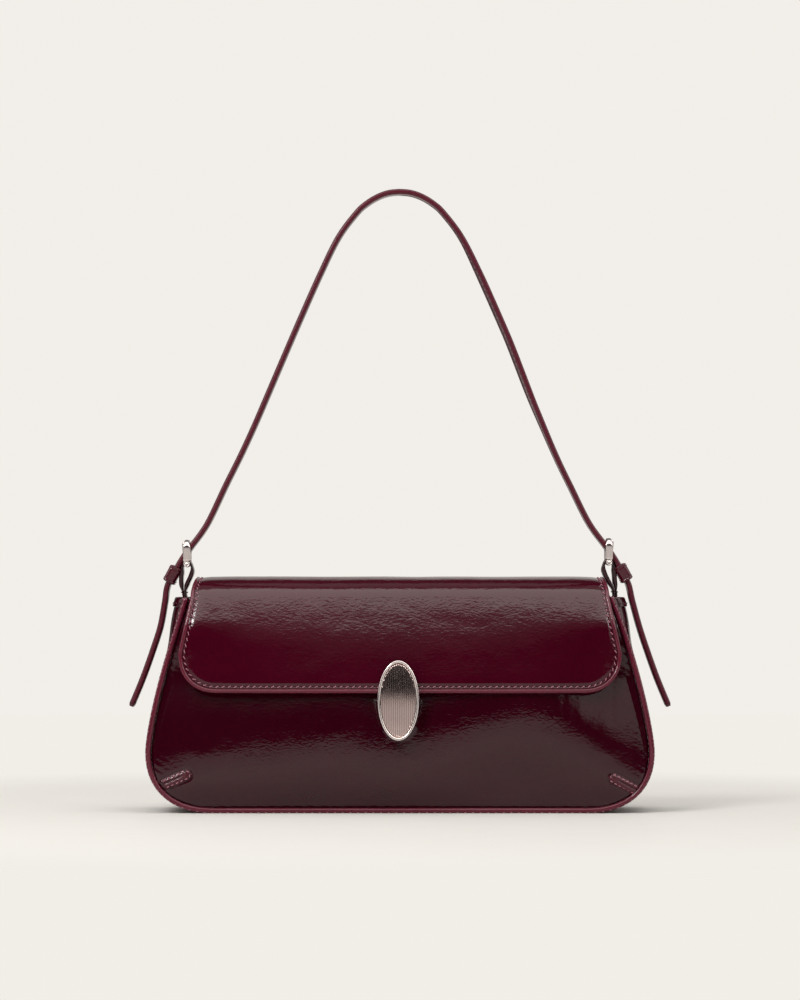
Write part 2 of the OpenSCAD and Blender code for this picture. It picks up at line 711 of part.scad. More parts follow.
// Buckles
side_y = strap_w / 2 + side_gap + frame_r;
eye_wall = 0.7;
eye_r = heel_r + eye_wall;
prong_eye_wall = 0.9;

module buckle_frame(right) {
    color(nickel) at_end(right) translate([buckle_x, 0, heel_z]) difference() {
        union() {
            for (side = [-1, 1]) {
                translate([0, side * side_y, 0]) cylinder(r = frame_r, h = frame_h);
                translate([0, side * side_y, frame_h]) sphere(frame_r);
                translate([0, side * side_y - frame_r, 0]) rotate([-90, 0, 0])
                    cylinder(r = eye_r, h = frame_d);
            }
            translate([0, -side_y, frame_h]) rotate([-90, 0, 0]) cylinder(r = frame_r, h = 2 * side_y);
        }
        rotate([90, 0, 0]) cylinder(r = heel_r + rim_gap, h = 4 * side_y, center = true);
    }
}

module heel_bar(right) {
    color(nickel) at_end(right) translate([buckle_x, 0, heel_z]) rotate([90, 0, 0])
        cylinder(r = heel_r, h = 2 * (side_y + frame_r), center = true);
}

module prong(right) {
    ring_w = prong_d;
    ring_r = heel_r + prong_eye_wall;
    reach = frame_h + frame_r + prong_d / 2;
    color(nickel) at_end(right) translate([buckle_x, 0, heel_z]) difference() {
        union() {
            rotate([90, 0, 0]) cylinder(r = ring_r, h = ring_w, center = true);
            translate([heel_r, 0, 0]) rotate([0, prong_lean, 0]) {
                cylinder(r = prong_d / 2, h = reach);
                translate([0, 0, reach]) sphere(prong_d / 2);
            }
        }
        rotate([90, 0, 0]) cylinder(r = heel_r + bar_fit, h = 4 * ring_w, center = true);
    }
}

// Keeper: loop round the strap's loose end, below the buckle
keeper_gap = 0.25;
keeper_angle = atan2(tail[0][1] - tail[2][1], tail[2][0] - tail[0][0]);
module keeper(right) {
    inner = [keeper_l + 2 * overrun, strap_w + 2 * keeper_gap, strap_t + 2 * keeper_gap];
    outer = [keeper_l, inner[1] + 2 * keeper_t, inner[2] + 2 * keeper_t];
    centre = (tail[0] + tail[1] + tail[2]) / 3;
    color(burgundy) at_end(right) translate([centre[0], 0, centre[1]]) rotate([0, keeper_angle, 0])
        difference() {
            cube(outer, center = true);
            cube(inner, center = true);
        }
}

front_panel();
back_panel();
base_panel();
gusset(false);  // left_gusset
gusset(true);  // right_gusset
piping(-1);  // front_piping
piping(1);  // back_piping
gusset_band(false);  // left_gusset_band
gusset_band(true);  // right_gusset_band
base_board();
anchor_pad(false);  // left_anchor_pad
anchor_pad(true);  // right_anchor_pad
lining();
facing(-1, front_belly);  // front_facing
facing(1, back_belly);  // back_facing
slip_pocket();
striker_plate();
striker_washer();
flap_top_leather();
flap_top_lining();
flap_top_edging();
flap_front_leather();
flap_front_board();
flap_front_lining();
flap_front_edging();
closure_rim();
fluted_plate();
closure_backing();
closure_screws();
magnet_cup();
magnet();
strap_leather();
strap_lining();
chape(false);  // left_chape
chape(true);  // right_chape
buckle_frame(false);  // left_buckle_frame
buckle_frame(true);  // right_buckle_frame
heel_bar(false);  // left_heel_bar
heel_bar(true);  // right_heel_bar
prong(false);  // left_prong
prong(true);  // right_prong
keeper(false);  // left_keeper
keeper(true);  // right_keeper
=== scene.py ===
"""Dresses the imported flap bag: crinkled patent leather, piping, stitches, lining, metal and a pale studio."""
import json
from math import atan, atan2, copysign, cos, exp, hypot, pi, radians, sin, sqrt, tan

import bmesh
import bpy
from mathutils import Matrix, Vector, noise

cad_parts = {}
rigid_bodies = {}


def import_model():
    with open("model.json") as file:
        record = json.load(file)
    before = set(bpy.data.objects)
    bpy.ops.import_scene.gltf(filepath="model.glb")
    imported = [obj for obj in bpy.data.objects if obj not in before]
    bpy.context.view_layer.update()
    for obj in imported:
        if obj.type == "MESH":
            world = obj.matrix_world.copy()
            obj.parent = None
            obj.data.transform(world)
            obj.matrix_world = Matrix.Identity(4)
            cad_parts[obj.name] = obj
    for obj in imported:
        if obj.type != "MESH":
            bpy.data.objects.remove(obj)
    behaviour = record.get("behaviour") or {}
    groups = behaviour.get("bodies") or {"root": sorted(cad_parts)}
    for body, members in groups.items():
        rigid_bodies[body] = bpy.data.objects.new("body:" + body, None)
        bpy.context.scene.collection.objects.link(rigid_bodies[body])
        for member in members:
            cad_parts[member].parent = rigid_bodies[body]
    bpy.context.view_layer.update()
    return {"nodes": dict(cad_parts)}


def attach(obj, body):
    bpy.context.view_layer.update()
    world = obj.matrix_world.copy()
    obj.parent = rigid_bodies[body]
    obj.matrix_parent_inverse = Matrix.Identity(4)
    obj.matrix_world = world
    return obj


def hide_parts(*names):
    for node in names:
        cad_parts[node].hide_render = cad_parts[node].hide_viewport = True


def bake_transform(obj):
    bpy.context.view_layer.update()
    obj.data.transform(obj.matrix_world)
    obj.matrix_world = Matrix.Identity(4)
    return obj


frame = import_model()
nodes = frame["nodes"]
scene = bpy.context.scene
MM = 0.001

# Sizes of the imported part, in millimetres
BAG_W, BASE_FLAT_W, MOUTH_W, MOUTH_H, CORNER_H = 280, 204, 238, 118, 34
BASE_D, MOUTH_D, FRONT_BELLY, BACK_BELLY, GUSSET_BOW = 58, 38, 8.5, 6, 5
LEATHER_T, PIPING_R, SEAM_GAP = 1.4, 1.5, 0.15
PANEL_INSET = 2 * PIPING_R + SEAM_GAP
GUSSET_EDGE = PIPING_R + SEAM_GAP
LINING_T, FACING_H, FACING_T, BOARD_T, POCKET_W, POCKET_H = 0.8, 16, 1, 1.5, 150, 58
LIP_H, ROLL_RISE, FLAP_R, FLAP_T, FLAP_GAP = 66, 11.8, 22, 2.6, 1.2
FLAP_TOP_HALF, FLAP_HALF = MOUTH_W / 2 - 5.5, MOUTH_W / 2 + 3
FLAP_OFF = FLAP_GAP + FLAP_T / 2
HINGE_Y, HINGE_Z = MOUTH_D / 2, MOUTH_H + 1.7
PLATE_W, PLATE_L, PLATE_T, FLUTES, PLATE_HANG = 22.8, 44, 3.4, 19, 5.3
STRAP_W, STRAP_T, STRAP_RISE, TAIL_DROP, TAIL_OUT = 12, 2.8, 207.3, 85.6, 31.8
BUCKLE_X, HEEL_Z, HEEL_R, FRAME_R = MOUTH_W / 2 - 1.5, MOUTH_H + 18.9, 1, 1.4
CHAPE_T, KEEPER_L, KEEPER_T, PRONG_D = 1.2, 9, 1.2, 1.5
STRIKER_T, CUP_H, PLATE_TILT = 1.4, 2.6, radians(3.5)
CROSS_ANGLE = radians(54)
CORNER_POWER = 2.3
CLEAR = 0.3

# From the front of the bag to its back
DEPTH = Vector((0, 1, 0))


def ease(t):
    t = min(1, max(0, t))
    return t * t * (3 - 2 * t)


def between(a, b, t):
    return a + (b - a) * t


def steps(a, b, count):
    return [between(a, b, i / count) for i in range(count + 1)]


def crowded(count):
    """Places from -1 to 1, closer together towards both ends."""
    return [sin(pi / 2 * t) for t in steps(-1, 1, count)]


def turns(count, first=0.0):
    """Angles in equal steps all the way round."""
    return [2 * pi * (k + first) / count for k in range(count)]


def rounded(t):
    """Height of a rounded edge, as a share of the full height, at share t of the edge's width."""
    return sqrt(max(0, 1 - (1 - min(1, t)) ** 2))


def squarer(value, power):
    """A sine or cosine bent so that the round it draws gets squarer below power 1."""
    return copysign(abs(value) ** power, value)


def corner_w(z, e, low, tall, flat, reach):
    """Half width at height z of an outline whose lower corner, tall and reach wide, is a superellipse."""
    share = min(1, max(0, low + tall - z) / (tall - e))
    return flat + (reach - e) * (1 - share ** CORNER_POWER) ** (1 / CORNER_POWER)


def half_w(z, e):
    """Half width of the body's outline at height z, drawn in by e."""
    if z < CORNER_H:
        return corner_w(z, e, 0, CORNER_H, BASE_FLAT_W / 2, (BAG_W - BASE_FLAT_W) / 2)
    rise = (z - CORNER_H) / (MOUTH_H - CORNER_H)
    return BAG_W / 2 - e - (BAG_W - MOUTH_W) / 2 * rise ** 1.39


def bow_at(z, s=0):
    """How far the gusset bows out at height z and share s of its width."""
    return GUSSET_BOW * ease((z / MOUTH_H - 0.66) / 0.34) * (1 - s * s)


def seam_d(z):
    """Half depth of the body at its seams."""
    rise = min(1, max(0, z - CORNER_H) / (MOUTH_H - CORNER_H))
    return (BASE_D - (BASE_D - MOUTH_D) * rise ** 1.3) / 2


def bulge_up(z):
    """Share of a panel's belly at height z."""
    peak = 1.3 / 2.8
    t = min(1, max(0, (z - PANEL_INSET) / (MOUTH_H - 6 - PANEL_INSET)))
    return t ** 1.3 * (1 - t) ** 1.5 / (peak ** 1.3 * (1 - peak) ** 1.5)


def panel_d(x, z, belly):
    """Half depth of the body at a point of a panel."""
    s = min(1, abs(x) / half_w(max(z, PANEL_INSET), PANEL_INSET))
    return seam_d(z) + belly * bulge_up(z) * (1 - s ** 3) ** 0.75


def body_rows(e, corner_steps, side_steps):
    """Heights of rows up the body, close together round its corners."""
    low = [CORNER_H - (CORNER_H - e) * cos(pi / 2 * i / corner_steps) ** (2 / CORNER_POWER)
           for i in range(corner_steps)]
    return low + steps(CORNER_H, MOUTH_H, side_steps)


def waves(x, z, seed, width=34):
    """Soft unevenness of leather that was pulled over a form, about -1 to 1."""
    v = Vector((x / width, 3.7 * seed, z / width))
    return noise.noise(v) + 0.45 * noise.noise(2.2 * v) + 0.2 * noise.noise(5 * v)


def spline(points, count):
    """Smooth curve through points, with count samples on each stretch."""
    points = [Vector(p) for p in points]
    last = len(points) - 1
    curve = []
    for i in range(last):
        a, b, c, d = points[max(i - 1, 0)], points[i], points[i + 1], points[min(i + 2, last)]
        for k in range(count):
            t = k / count
            curve.append(0.5 * (2 * b + (c - a) * t + (2 * a - 5 * b + 4 * c - d) * t * t
                                + (3 * b - a - 3 * c + d) * t ** 3))
    return curve + [points[last]]


def walk(path, pitch, margin=0.0):
    """Stretch numbers and shares of points a pitch apart along a path."""
    lengths = [(b - a).length for a, b in zip(path, path[1:])]
    count = max(1, round((sum(lengths) - 2 * margin) / pitch))
    places, passed, i = [], 0.0, 0
    for k in range(count + 1):
        goal = margin + (sum(lengths) - 2 * margin) * k / count
        while i < len(lengths) - 1 and passed + lengths[i] < goal:
            passed += lengths[i]
            i += 1
        places.append((i, min(1, (goal - passed) / max(lengths[i], 1e-9))))
    return places


def height_on(curve, x):
    """Height of a curve of (x, z) points at x."""
    for a, b in zip(curve, curve[1:]):
        if x <= b[0]:
            return between(a[1], b[1], max(0, (x - a[0]) / (b[0] - a[0])))
    return curve[-1][1]


# Where the front panel's belly turns up, across the bag: below this line its gloss mirrors the floor
TURN_LINE = spline([(-142, 20), (-130, 26), (-108, 31.6), (-56, 39), (-27, 41), (0, 36.5), (67, 54),
                    (113, 33.3), (135, 19), (142, 15)], 8)
TURN_SLOPE = tan(radians(4.4))
STRIKER_Z = LIP_H - PLATE_HANG - 0.25 * PLATE_L


def plain_turn(x):
    """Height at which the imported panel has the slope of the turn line."""
    z, top, step = 20.0, 90, 0.5
    while z < top and panel_d(x, z - step, FRONT_BELLY) - panel_d(x, z + step, FRONT_BELLY) < TURN_SLOPE:
        z += step
    return z


PLAIN_TURNS = [(x, plain_turn(x)) for x in range(0, 144, 3)]


def front_d(x, z):
    """Half depth of the front panel, with its belly slumped to the turn line except behind the striker."""
    slump_top, striker_half = 72, 6
    drop = height_on(PLAIN_TURNS, abs(x)) - height_on(TURN_LINE, x)
    drop *= ease((z - PANEL_INSET) / 14) * (1 - ease((z - slump_top) / 30))
    drop *= ease((hypot(x, z - STRIKER_Z) - striker_half) / 3.5)
    return panel_d(x, z + drop, FRONT_BELLY)


# Meshes

def piece(name, points, faces, material, body=None, replaces=(), slot=None):
    """A closed mesh from points in millimetres, its normals outward, riding on a body."""
    mesh = bpy.data.meshes.new(name)
    mesh.from_pydata([Vector(p) * MM for p in points], [], faces)
    form = bmesh.new()
    form.from_mesh(mesh)
    bmesh.ops.remove_doubles(form, verts=form.verts, dist=2e-6)
    bmesh.ops.dissolve_degenerate(form, edges=form.edges, dist=1e-6)
    bmesh.ops.recalc_face_normals(form, faces=form.faces)
    form.to_mesh(mesh)
    form.free()
    mesh.shade_smooth()
    mesh.materials.append(material)
    made = bpy.data.objects.new(name, mesh)
    scene.collection.objects.link(made)
    if replaces:
        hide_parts(*replaces)
    if body:
        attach(made, body)
    return made


def sheet_faces(rows, cols, wrap=False, keep=None):
    """Faces of a sheet with a top and an under side, walled wherever a cell has no neighbour."""
    across = cols if wrap else cols - 1

    def at(i, j, side):
        return side * rows * cols + i * cols + j % cols

    cells = {(i, j) for i in range(rows - 1) for j in range(across) if keep is None or keep(i, j)}
    faces = []
    for i, j in cells:
        corners = [(i, j), (i + 1, j), (i + 1, j + 1), (i, j + 1)]
        faces.append([at(*c, 0) for c in corners])
        faces.append([at(*c, 1) for c in reversed(corners)])
        sides = [((i, j - 1), 0, 1), ((i + 1, j), 1, 2), ((i, j + 1), 2, 3), ((i - 1, j), 3, 0)]
        for (ni, nj), a, b in sides:
            if (ni, nj % cols if wrap else nj) not in cells:
                p, q = corners[a], corners[b]
                faces.append([at(*q, 0), at(*p, 0), at(*p, 1), at(*q, 1)])
    return faces


def sheet_piece(name, grid, material, body=None, wrap=False, keep=None, **rest):
    """A leather or cloth sheet; each place of the grid is a pair, a top point and an under point."""
    points = [pair[side] for side in (0, 1) for row in grid for pair in row]
    return piece(name, points, sheet_faces(len(grid), len(grid[0]), wrap, keep), material, body, **rest)


def section_piece(name, rings, material, body=None, closed=False, **rest):
    """A tube or bar through rings of points; open ends are capped."""
    n, m = len(rings), len(rings[0])
    faces = [(i * m + k, (i + 1) % n * m + k, (i + 1) % n * m + (k + 1) % m, i * m + (k + 1) % m)
             for i in range(n if closed else n - 1) for k in range(m)]
    if not closed:
        faces += [list(range(m)), [(n - 1) * m + k for k in range(m)]]
    return piece(name, [p for ring in rings for p in ring], faces, material, body, **rest)


def tangent(path, i):
    return (path[min(i + 1, len(path) - 1)] - path[max(i - 1, 0)]).normalized()


def frames_along(path, side):
    """Tangent, normal and side at each point of a path; side gives the side direction near each."""
    found = []
    for i in range(len(path)):
        along = tangent(path, i)
        up = (side(i) if callable(side) else side).cross(along).normalized()
        found.append((along, up, along.cross(up).normalized()))
    return found


def tube_rings(path, side, radius_a, radius_b=None, count=12, power=1.0):
    """Rings of a round or oval section, squarer below power 1; radius_a lies along the normal, radius_b
    along the side."""
    rings = []
    for i, (p, (along, up, across)) in enumerate(zip(path, frames_along(path, side))):
        a, b = [r(i / (len(path) - 1)) if callable(r) else r for r in (radius_a, radius_b or radius_a)]
        rings.append([p + a * squarer(cos(t), power) * up + b * squarer(sin(t), power) * across
                      for t in turns(count)])
    return rings


def two_ends(make):
    """Both ends of the bag are alike: the left piece is the right one turned half round."""
    for side, name in ((1, "right"), (-1, "left")):
        make(name, lambda p, side=side: Vector((side * p[0], side * p[1], p[2])))


# Materials

def tone(red, green, blue):
    """Colour from the 0 to 255 values of a screen."""
    return [((c / 255 + 0.055) / 1.055) ** 2.4 if c > 10 else c / 255 / 12.92
            for c in (red, green, blue)] + [1]


def add(tree, kind, inputs=None, **settings):
    made = tree.nodes.new(kind)
    for name, value in settings.items():
        setattr(made, name, value)
    for name, value in (inputs or {}).items():
        if isinstance(value, bpy.types.NodeSocket):
            tree.links.new(value, made.inputs[name])
        else:
            made.inputs[name].default_value = value
    return made


def maths(tree, operation, a, b=0.0, c=0.0):
    return add(tree, "ShaderNodeMath", {0: a, 1: b, 2: c}, operation=operation).outputs[0]


def one_less(tree, value):
    return maths(tree, "SUBTRACT", 1.0, value)


def ramp(tree, value, low, high, start=0.0, end=1.0, kind="SMOOTHSTEP"):
    """Goes from start to end while value goes from low to high."""
    return add(tree, "ShaderNodeMapRange", {"Value": value, "From Min": low, "From Max": high,
               "To Min": start, "To Max": end}, interpolation_type=kind).outputs[0]


def clouds(tree, place, scale, detail, output="Fac", **more):
    return add(tree, "ShaderNodeTexNoise", {"Vector": place, "Scale": scale, "Detail": detail,
                                            **more}).outputs[output]


def effect_group(name, inputs, build):
    """A shader group with named inputs; build makes its nodes and returns its named outputs."""
    group = bpy.data.node_groups.new(name, "ShaderNodeTree")
    for label, value in inputs.items():
        kind = "NodeSocketVector" if value is None else "NodeSocketFloat"
        socket = group.interface.new_socket(label, in_out="INPUT", socket_type=kind)
        if value is not None:
            socket.default_value = value
    outputs = build(group, group.nodes.new("NodeGroupInput").outputs)
    for label in outputs:
        group.interface.new_socket(label, in_out="OUTPUT", socket_type="NodeSocketFloat")
    end = group.nodes.new("NodeGroupOutput")
    for label, value in outputs.items():
        group.links.new(value, end.inputs[label])
    return group


def crinkle(tree, given):
    """Patent film over the leather: fine drawn-out creases on soft swells."""
    place = given["Vector"]
    drawn = add(tree, "ShaderNodeMapping", {"Vector": place, "Scale": (0.5, 1.0, 1.0)}).outputs[0]
    bend = clouds(tree, drawn, 170.0, 2.0, "Color")
    shift = add(tree, "ShaderNodeVectorMath", {0: bend, 1: (0.5, 0.5, 0.5)}, operation="SUBTRACT").outputs[0]
    shift = add(tree, "ShaderNodeVectorMath", {0: shift, "Scale": 0.004}, operation="SCALE").outputs[0]
    bent = add(tree, "ShaderNodeVectorMath", {0: drawn, 1: shift}, operation="ADD").outputs[0]
    fine = clouds(tree, bent, given["Creases"], 1.0, Roughness=0.6)
    swell = clouds(tree, place, given["Swells"], 2.0)
    return {"Height": maths(tree, "MULTIPLY_ADD", swell, 1.5, fine), "Fine": fine,
            "Cloud": clouds(tree, place, 26.0, 3.0)}


def weave(tree, given):
    """Twill cloth: slanted ribs broken by the cross threads."""
    place = given["Vector"]
    ribs = add(tree, "ShaderNodeTexWave", {"Vector": place, "Scale": given["Ribs"], "Distortion": 0.6,
                                           "Detail": 1.0}, bands_direction="DIAGONAL").outputs["Fac"]
    cross = add(tree, "ShaderNodeTexWave", {"Vector": place, "Distortion": 0.8, "Scale": maths(
        tree, "MULTIPLY", given["Ribs"], 0.6)}, bands_direction="Z").outputs["Fac"]
    height = maths(tree, "MULTIPLY_ADD", cross, 0.4, ribs)
    return {"Height": height,
            "Shade": maths(tree, "MULTIPLY_ADD", height, 0.35, clouds(tree, place, 60.0, 5.0))}


def polish(tree, given):
    """Hairline scratches and a haze of handling on metal."""
    stretch = add(tree, "ShaderNodeMapping", {"Vector": given["Vector"], "Scale": (1.0, 1.0, 0.08)})
    spots = clouds(tree, given["Vector"], 300.0, 4.0)
    return {"Height": clouds(tree, stretch.outputs[0], 4200.0, 2.0),
            "Roughness": maths(tree, "MULTIPLY_ADD", spots, 0.1, given["Haze"])}


CRINKLE = effect_group("Crinkled film", {"Vector": None, "Creases": 820.0, "Swells": 110.0}, crinkle)
TWILL = effect_group("Twill", {"Vector": None, "Ribs": 900.0}, weave)
POLISH = effect_group("Polished metal", {"Vector": None, "Haze": 0.3}, polish)


def material(name, roughness, metallic=0.0, level=0.5, sheen=0.0):
    """A material with its tree, its bare Principled shader and object coordinates."""
    made = bpy.data.materials.new(name)
    made.use_nodes = True
    tree = made.node_tree
    shader = tree.nodes["Principled BSDF"]
    for label, value in (("Roughness", roughness), ("Metallic", metallic), ("Specular IOR Level", level),
                         ("Sheen Weight", sheen)):
        shader.inputs[label].default_value = value
    return made, tree, shader, tree.nodes.new("ShaderNodeTexCoord").outputs["Object"]


def effect(tree, group, inputs):
    return add(tree, "ShaderNodeGroup", inputs, node_tree=group).outputs


def relief(tree, shader, height, distance, strength=1.0):
    bump = add(tree, "ShaderNodeBump", {"Height": height, "Distance": distance, "Strength": strength})
    tree.links.new(bump.outputs[0], shader.inputs["Normal"])


def colours(tree, shader, factor, low, high):
    mix = add(tree, "ShaderNodeMix", {0: factor, 6: low, 7: high}, data_type="RGBA")
    tree.links.new(mix.outputs[2], shader.inputs["Base Color"])


def patent(name, dark, light, depth, gloss=0.07, creases=820.0, swells=110.0, calm=1.0):
    """Glossy crinkled patent leather, whose relief fades to that calm share towards the bag's ends."""
    made, tree, shader, place = material(name, gloss, level=0.42)
    film = effect(tree, CRINKLE, {"Vector": place, "Creases": creases, "Swells": swells})
    mottle = maths(tree, "MULTIPLY_ADD", film["Fine"], 0.35, maths(tree, "MULTIPLY", film["Cloud"], 0.65))
    colours(tree, shader, mottle, dark, light)
    rough = ramp(tree, film["Cloud"], 0.3, 0.7, gloss, gloss + 0.05, "LINEAR")
    tree.links.new(rough, shader.inputs["Roughness"])
    across = maths(tree, "ABSOLUTE", add(tree, "ShaderNodeSeparateXYZ", {0: place}).outputs["X"])
    relief(tree, shader, film["Height"], depth, ramp(tree, across, 0.075, 0.105, 1.0, calm))
    return made


def plain(name, dark, light, roughness, scale, distance, metallic=0.0, level=0.5):
    """A simple uneven finish: board, painted edge, magnet, thread, or the painted shade inside a needle hole.
    """
    made, tree, shader, place = material(name, roughness, metallic, level)
    grain = clouds(tree, place, scale, 4.0)
    colours(tree, shader, grain, dark, light)
    relief(tree, shader, grain, distance)
    return made


def cloth(name, dark, light):
    made, tree, shader, place = material(name, 0.78, sheen=0.25)
    twill = effect(tree, TWILL, {"Vector": place})
    colours(tree, shader, twill["Shade"], dark, light)
    relief(tree, shader, twill["Height"], 0.00012)
    return made


def metal(name, low, high, haze):
    made, tree, shader, place = material(name, haze, 1.0)
    finish = effect(tree, POLISH, {"Vector": place, "Haze": haze})
    tree.links.new(finish["Roughness"], shader.inputs["Roughness"])
    colours(tree, shader, clouds(tree, place, 90.0, 5.0), low, high)
    relief(tree, shader, finish["Height"], 0.00001, 0.5)
    return made


# Name, darker and lighter tone, depth of the relief in metres, roughness, scales of creases and swells
PATENT = patent("Patent leather of the flap", tone(58, 1, 18), tone(74, 5, 28), 7e-5)
# The body's leather is the flap's leather made darker: painted shade, for the shade the body lies in under the
# flap
SHADED_BODY_LEATHER = patent("Patent leather of the body", tone(45, 1, 13), tone(57, 2, 21), 1e-4, calm=0.45)
SIDE = patent("Patent leather of the gusset", tone(50, 2, 15), tone(64, 5, 24), 7e-5, 0.09)
STRAP = patent("Patent leather of the strap", tone(66, 7, 23), tone(84, 14, 34), 6e-5, 0.14, 900.0, 260.0)
TRIM = patent("Patent leather of the piping", tone(86, 14, 34), tone(110, 29, 52), 6e-5, 0.17, 1100.0, 400.0)
# The loops' leather is made near black: painted shade, as the loops sit in shadow
SHADED_LOOP_LEATHER = patent("Patent leather of the buckle loops", tone(36, 3, 12), tone(54, 9, 22), 6e-5, 0.12, 900.0,
              260.0)
DART = patent("Puckered leather of the darts", tone(62, 7, 22), tone(84, 15, 34), 1.4e-4, 0.2, 900.0, 500.0)
INNER = patent("Smooth leather of the facings", tone(58, 8, 24), tone(74, 16, 34), 1e-4, 0.38, 900.0, 300.0)
EDGE = plain("Painted edge", tone(76, 13, 29), tone(98, 26, 44), 0.36, 900.0, 0.00008, level=0.25)
LINING = cloth("Lining cloth", tone(72, 26, 36), tone(104, 46, 56))
THREAD = plain("Waxed thread", tone(156, 86, 102), tone(204, 142, 156), 0.4, 2600.0, 0.00006)
# Near-black finish of the balls at the stitch ends: painted shade inside the needle holes
NEEDLE_HOLE_SHADE = plain("Needle hole", tone(14, 2, 6), tone(24, 5, 11), 0.8, 1500.0, 0.00002, level=0.2)
BOARD = plain("Fibre board", tone(150, 122, 92), tone(182, 154, 120), 0.85, 700.0, 0.0001)
NICKEL = metal("Satin nickel", (0.60, 0.53, 0.51, 1), (0.72, 0.65, 0.63, 1), 0.12)
# The fluted face is darker and redder than the rim's nickel: painted reflection of the red leather
REDDENED_FLUTED_NICKEL = metal("Fluted nickel", (0.49, 0.39, 0.375, 1), (0.58, 0.475, 0.455, 1), 0.06)
MAGNET = plain("Nickelled magnet", tone(120, 116, 114), tone(150, 146, 143), 0.35, 500.0, 0.00002, 1.0)


# Stitches

def sewing_tree():
    """Geometry Nodes: a short arched thread at every point, with a dark ball of painted shade at each of its
    two needle holes.
    """
    tree = bpy.data.node_groups.new("Sewn row", "GeometryNodeTree")
    for label, kind in (("Geometry", "Geometry"), ("Stitch length", "Float"), ("Thread radius", "Float"),
                        ("Arch", "Float"), ("Sink", "Float"), ("Thread", "Material"), ("Hole", "Material")):
        tree.interface.new_socket(label, in_out="INPUT", socket_type="NodeSocket" + kind)
    tree.interface.new_socket("Geometry", in_out="OUTPUT", socket_type="NodeSocketGeometry")
    given = tree.nodes.new("NodeGroupInput").outputs

    def make(kind, inputs, **settings):
        return add(tree, kind, inputs, **settings).outputs[0]

    def spot(x, z):
        return make("ShaderNodeCombineXYZ", {"X": x, "Z": z})

    front = maths(tree, "MULTIPLY", given["Stitch length"], 0.5)
    back, below = [maths(tree, "MULTIPLY", value, -1.0) for value in (front, given["Sink"])]
    arc = make("GeometryNodeCurveQuadraticBezier", {"Resolution": 4, "Start": spot(back, below),
               "Middle": spot(0.0, given["Arch"]), "End": spot(front, below)})
    wire = make("GeometryNodeCurvePrimitiveCircle", {"Resolution": 5, "Radius": given["Thread radius"]})
    thread = make("GeometryNodeCurveToMesh", {"Curve": arc, "Profile Curve": wire, "Fill Caps": True})
    hole_shade_ball = make("GeometryNodeMeshUVSphere", {"Segments": 6, "Rings": 4,
                "Radius": maths(tree, "MULTIPLY", given["Thread radius"], 2.0)})
    thread, hole_shade_ball = [make("GeometryNodeSetMaterial", {"Geometry": mesh, "Material": given[label]})
                    for mesh, label in ((thread, "Thread"), (hole_shade_ball, "Hole"))]
    parts = tree.nodes.new("GeometryNodeJoinGeometry")
    tree.links.new(thread, parts.inputs[0])
    # Each needle hole is a squashed dark ball: painted shade in the hole
    for x in (front, back):
        hole = make("GeometryNodeTransform", {"Geometry": hole_shade_ball, "Scale": (1.2, 1.0, 0.45),
                    "Translation": spot(x, maths(tree, "MULTIPLY", below, 0.35))})
        tree.links.new(hole, parts.inputs[0])
    turn = make("GeometryNodeInputNamedAttribute", {"Name": "turn"}, data_type="FLOAT_VECTOR")
    rows = make("GeometryNodeInstanceOnPoints", {"Points": given["Geometry"], "Instance": parts.outputs[0],
                                                 "Rotation": turn})
    end = tree.nodes.new("NodeGroupOutput")
    tree.links.new(make("GeometryNodeRealizeInstances", {"Geometry": rows}), end.inputs[0])
    return tree


SEWING = sewing_tree()
SINK = 0.15


def stitches(name, rows, length, radius, arch, slant=0.0):
    """One mesh of sewn rows. Each row is a list of (point, along, out) in millimetres."""
    spots, bends = [], []
    for point, along, out in (spot for row in rows for spot in row):
        out = out.normalized()
        along = (Matrix.Rotation(slant, 3, out) @ (along - along.dot(out) * out)).normalized()
        bends += Matrix((along, out.cross(along), out)).transposed().to_euler()
        spots.append(Vector(point) * MM)
    mesh = bpy.data.meshes.new(name)
    mesh.from_pydata(spots, [], [])
    mesh.attributes.new("turn", "FLOAT_VECTOR", "POINT").data.foreach_set("vector", bends)
    made = bpy.data.objects.new(name, mesh)
    scene.collection.objects.link(made)
    sewing = made.modifiers.new("Sewing", "NODES")
    sewing.node_group = SEWING
    values = {"Stitch length": length * MM, "Thread radius": radius * MM, "Arch": 2 * arch * MM,
              "Sink": SINK * MM, "Thread": THREAD, "Hole": NEEDLE_HOLE_SHADE}
    for socket in SEWING.interface.items_tree:
        if socket.in_out == "INPUT" and socket.name in values:
            sewing[socket.identifier] = values[socket.name]
    graph = bpy.context.evaluated_depsgraph_get()
    done = bpy.data.meshes.new_from_object(made.evaluated_get(graph))
    made.modifiers.clear()
    made.data = done
    done.shade_smooth()
    return made


def sewn_row(path, out, pitch, margin=0.0):
    """Stitch places along a path of points; out gives the outward direction at a stretch number."""
    row = []
    for i, share in walk(path, pitch, margin):
        a, b = path[i], path[i + 1]
        direction = out(i) if callable(out) else out
        row.append((a.lerp(b, share), b - a, direction))
    return row


# Body

def column_shares(count):
    """Places across a panel from -1 to 1, closer together towards the seams."""
    return [0.45 * sin(pi / 2 * u) + 0.55 * u for u in steps(-1, 1, count)]


def panel_columns():
    """Places across a panel from -1 to 1, close together over the corners, where the darts are."""
    half = steps(0, 0.79, 66)[:-1] + steps(0.79, 1, 62)
    return [-u for u in reversed(half[1:])] + half


DARTS = [((-128.8, 16.2), (-117.4, 21.2)), ((128.9, 13.0), (117.5, 19.1))]
DART_HALF = 3.05


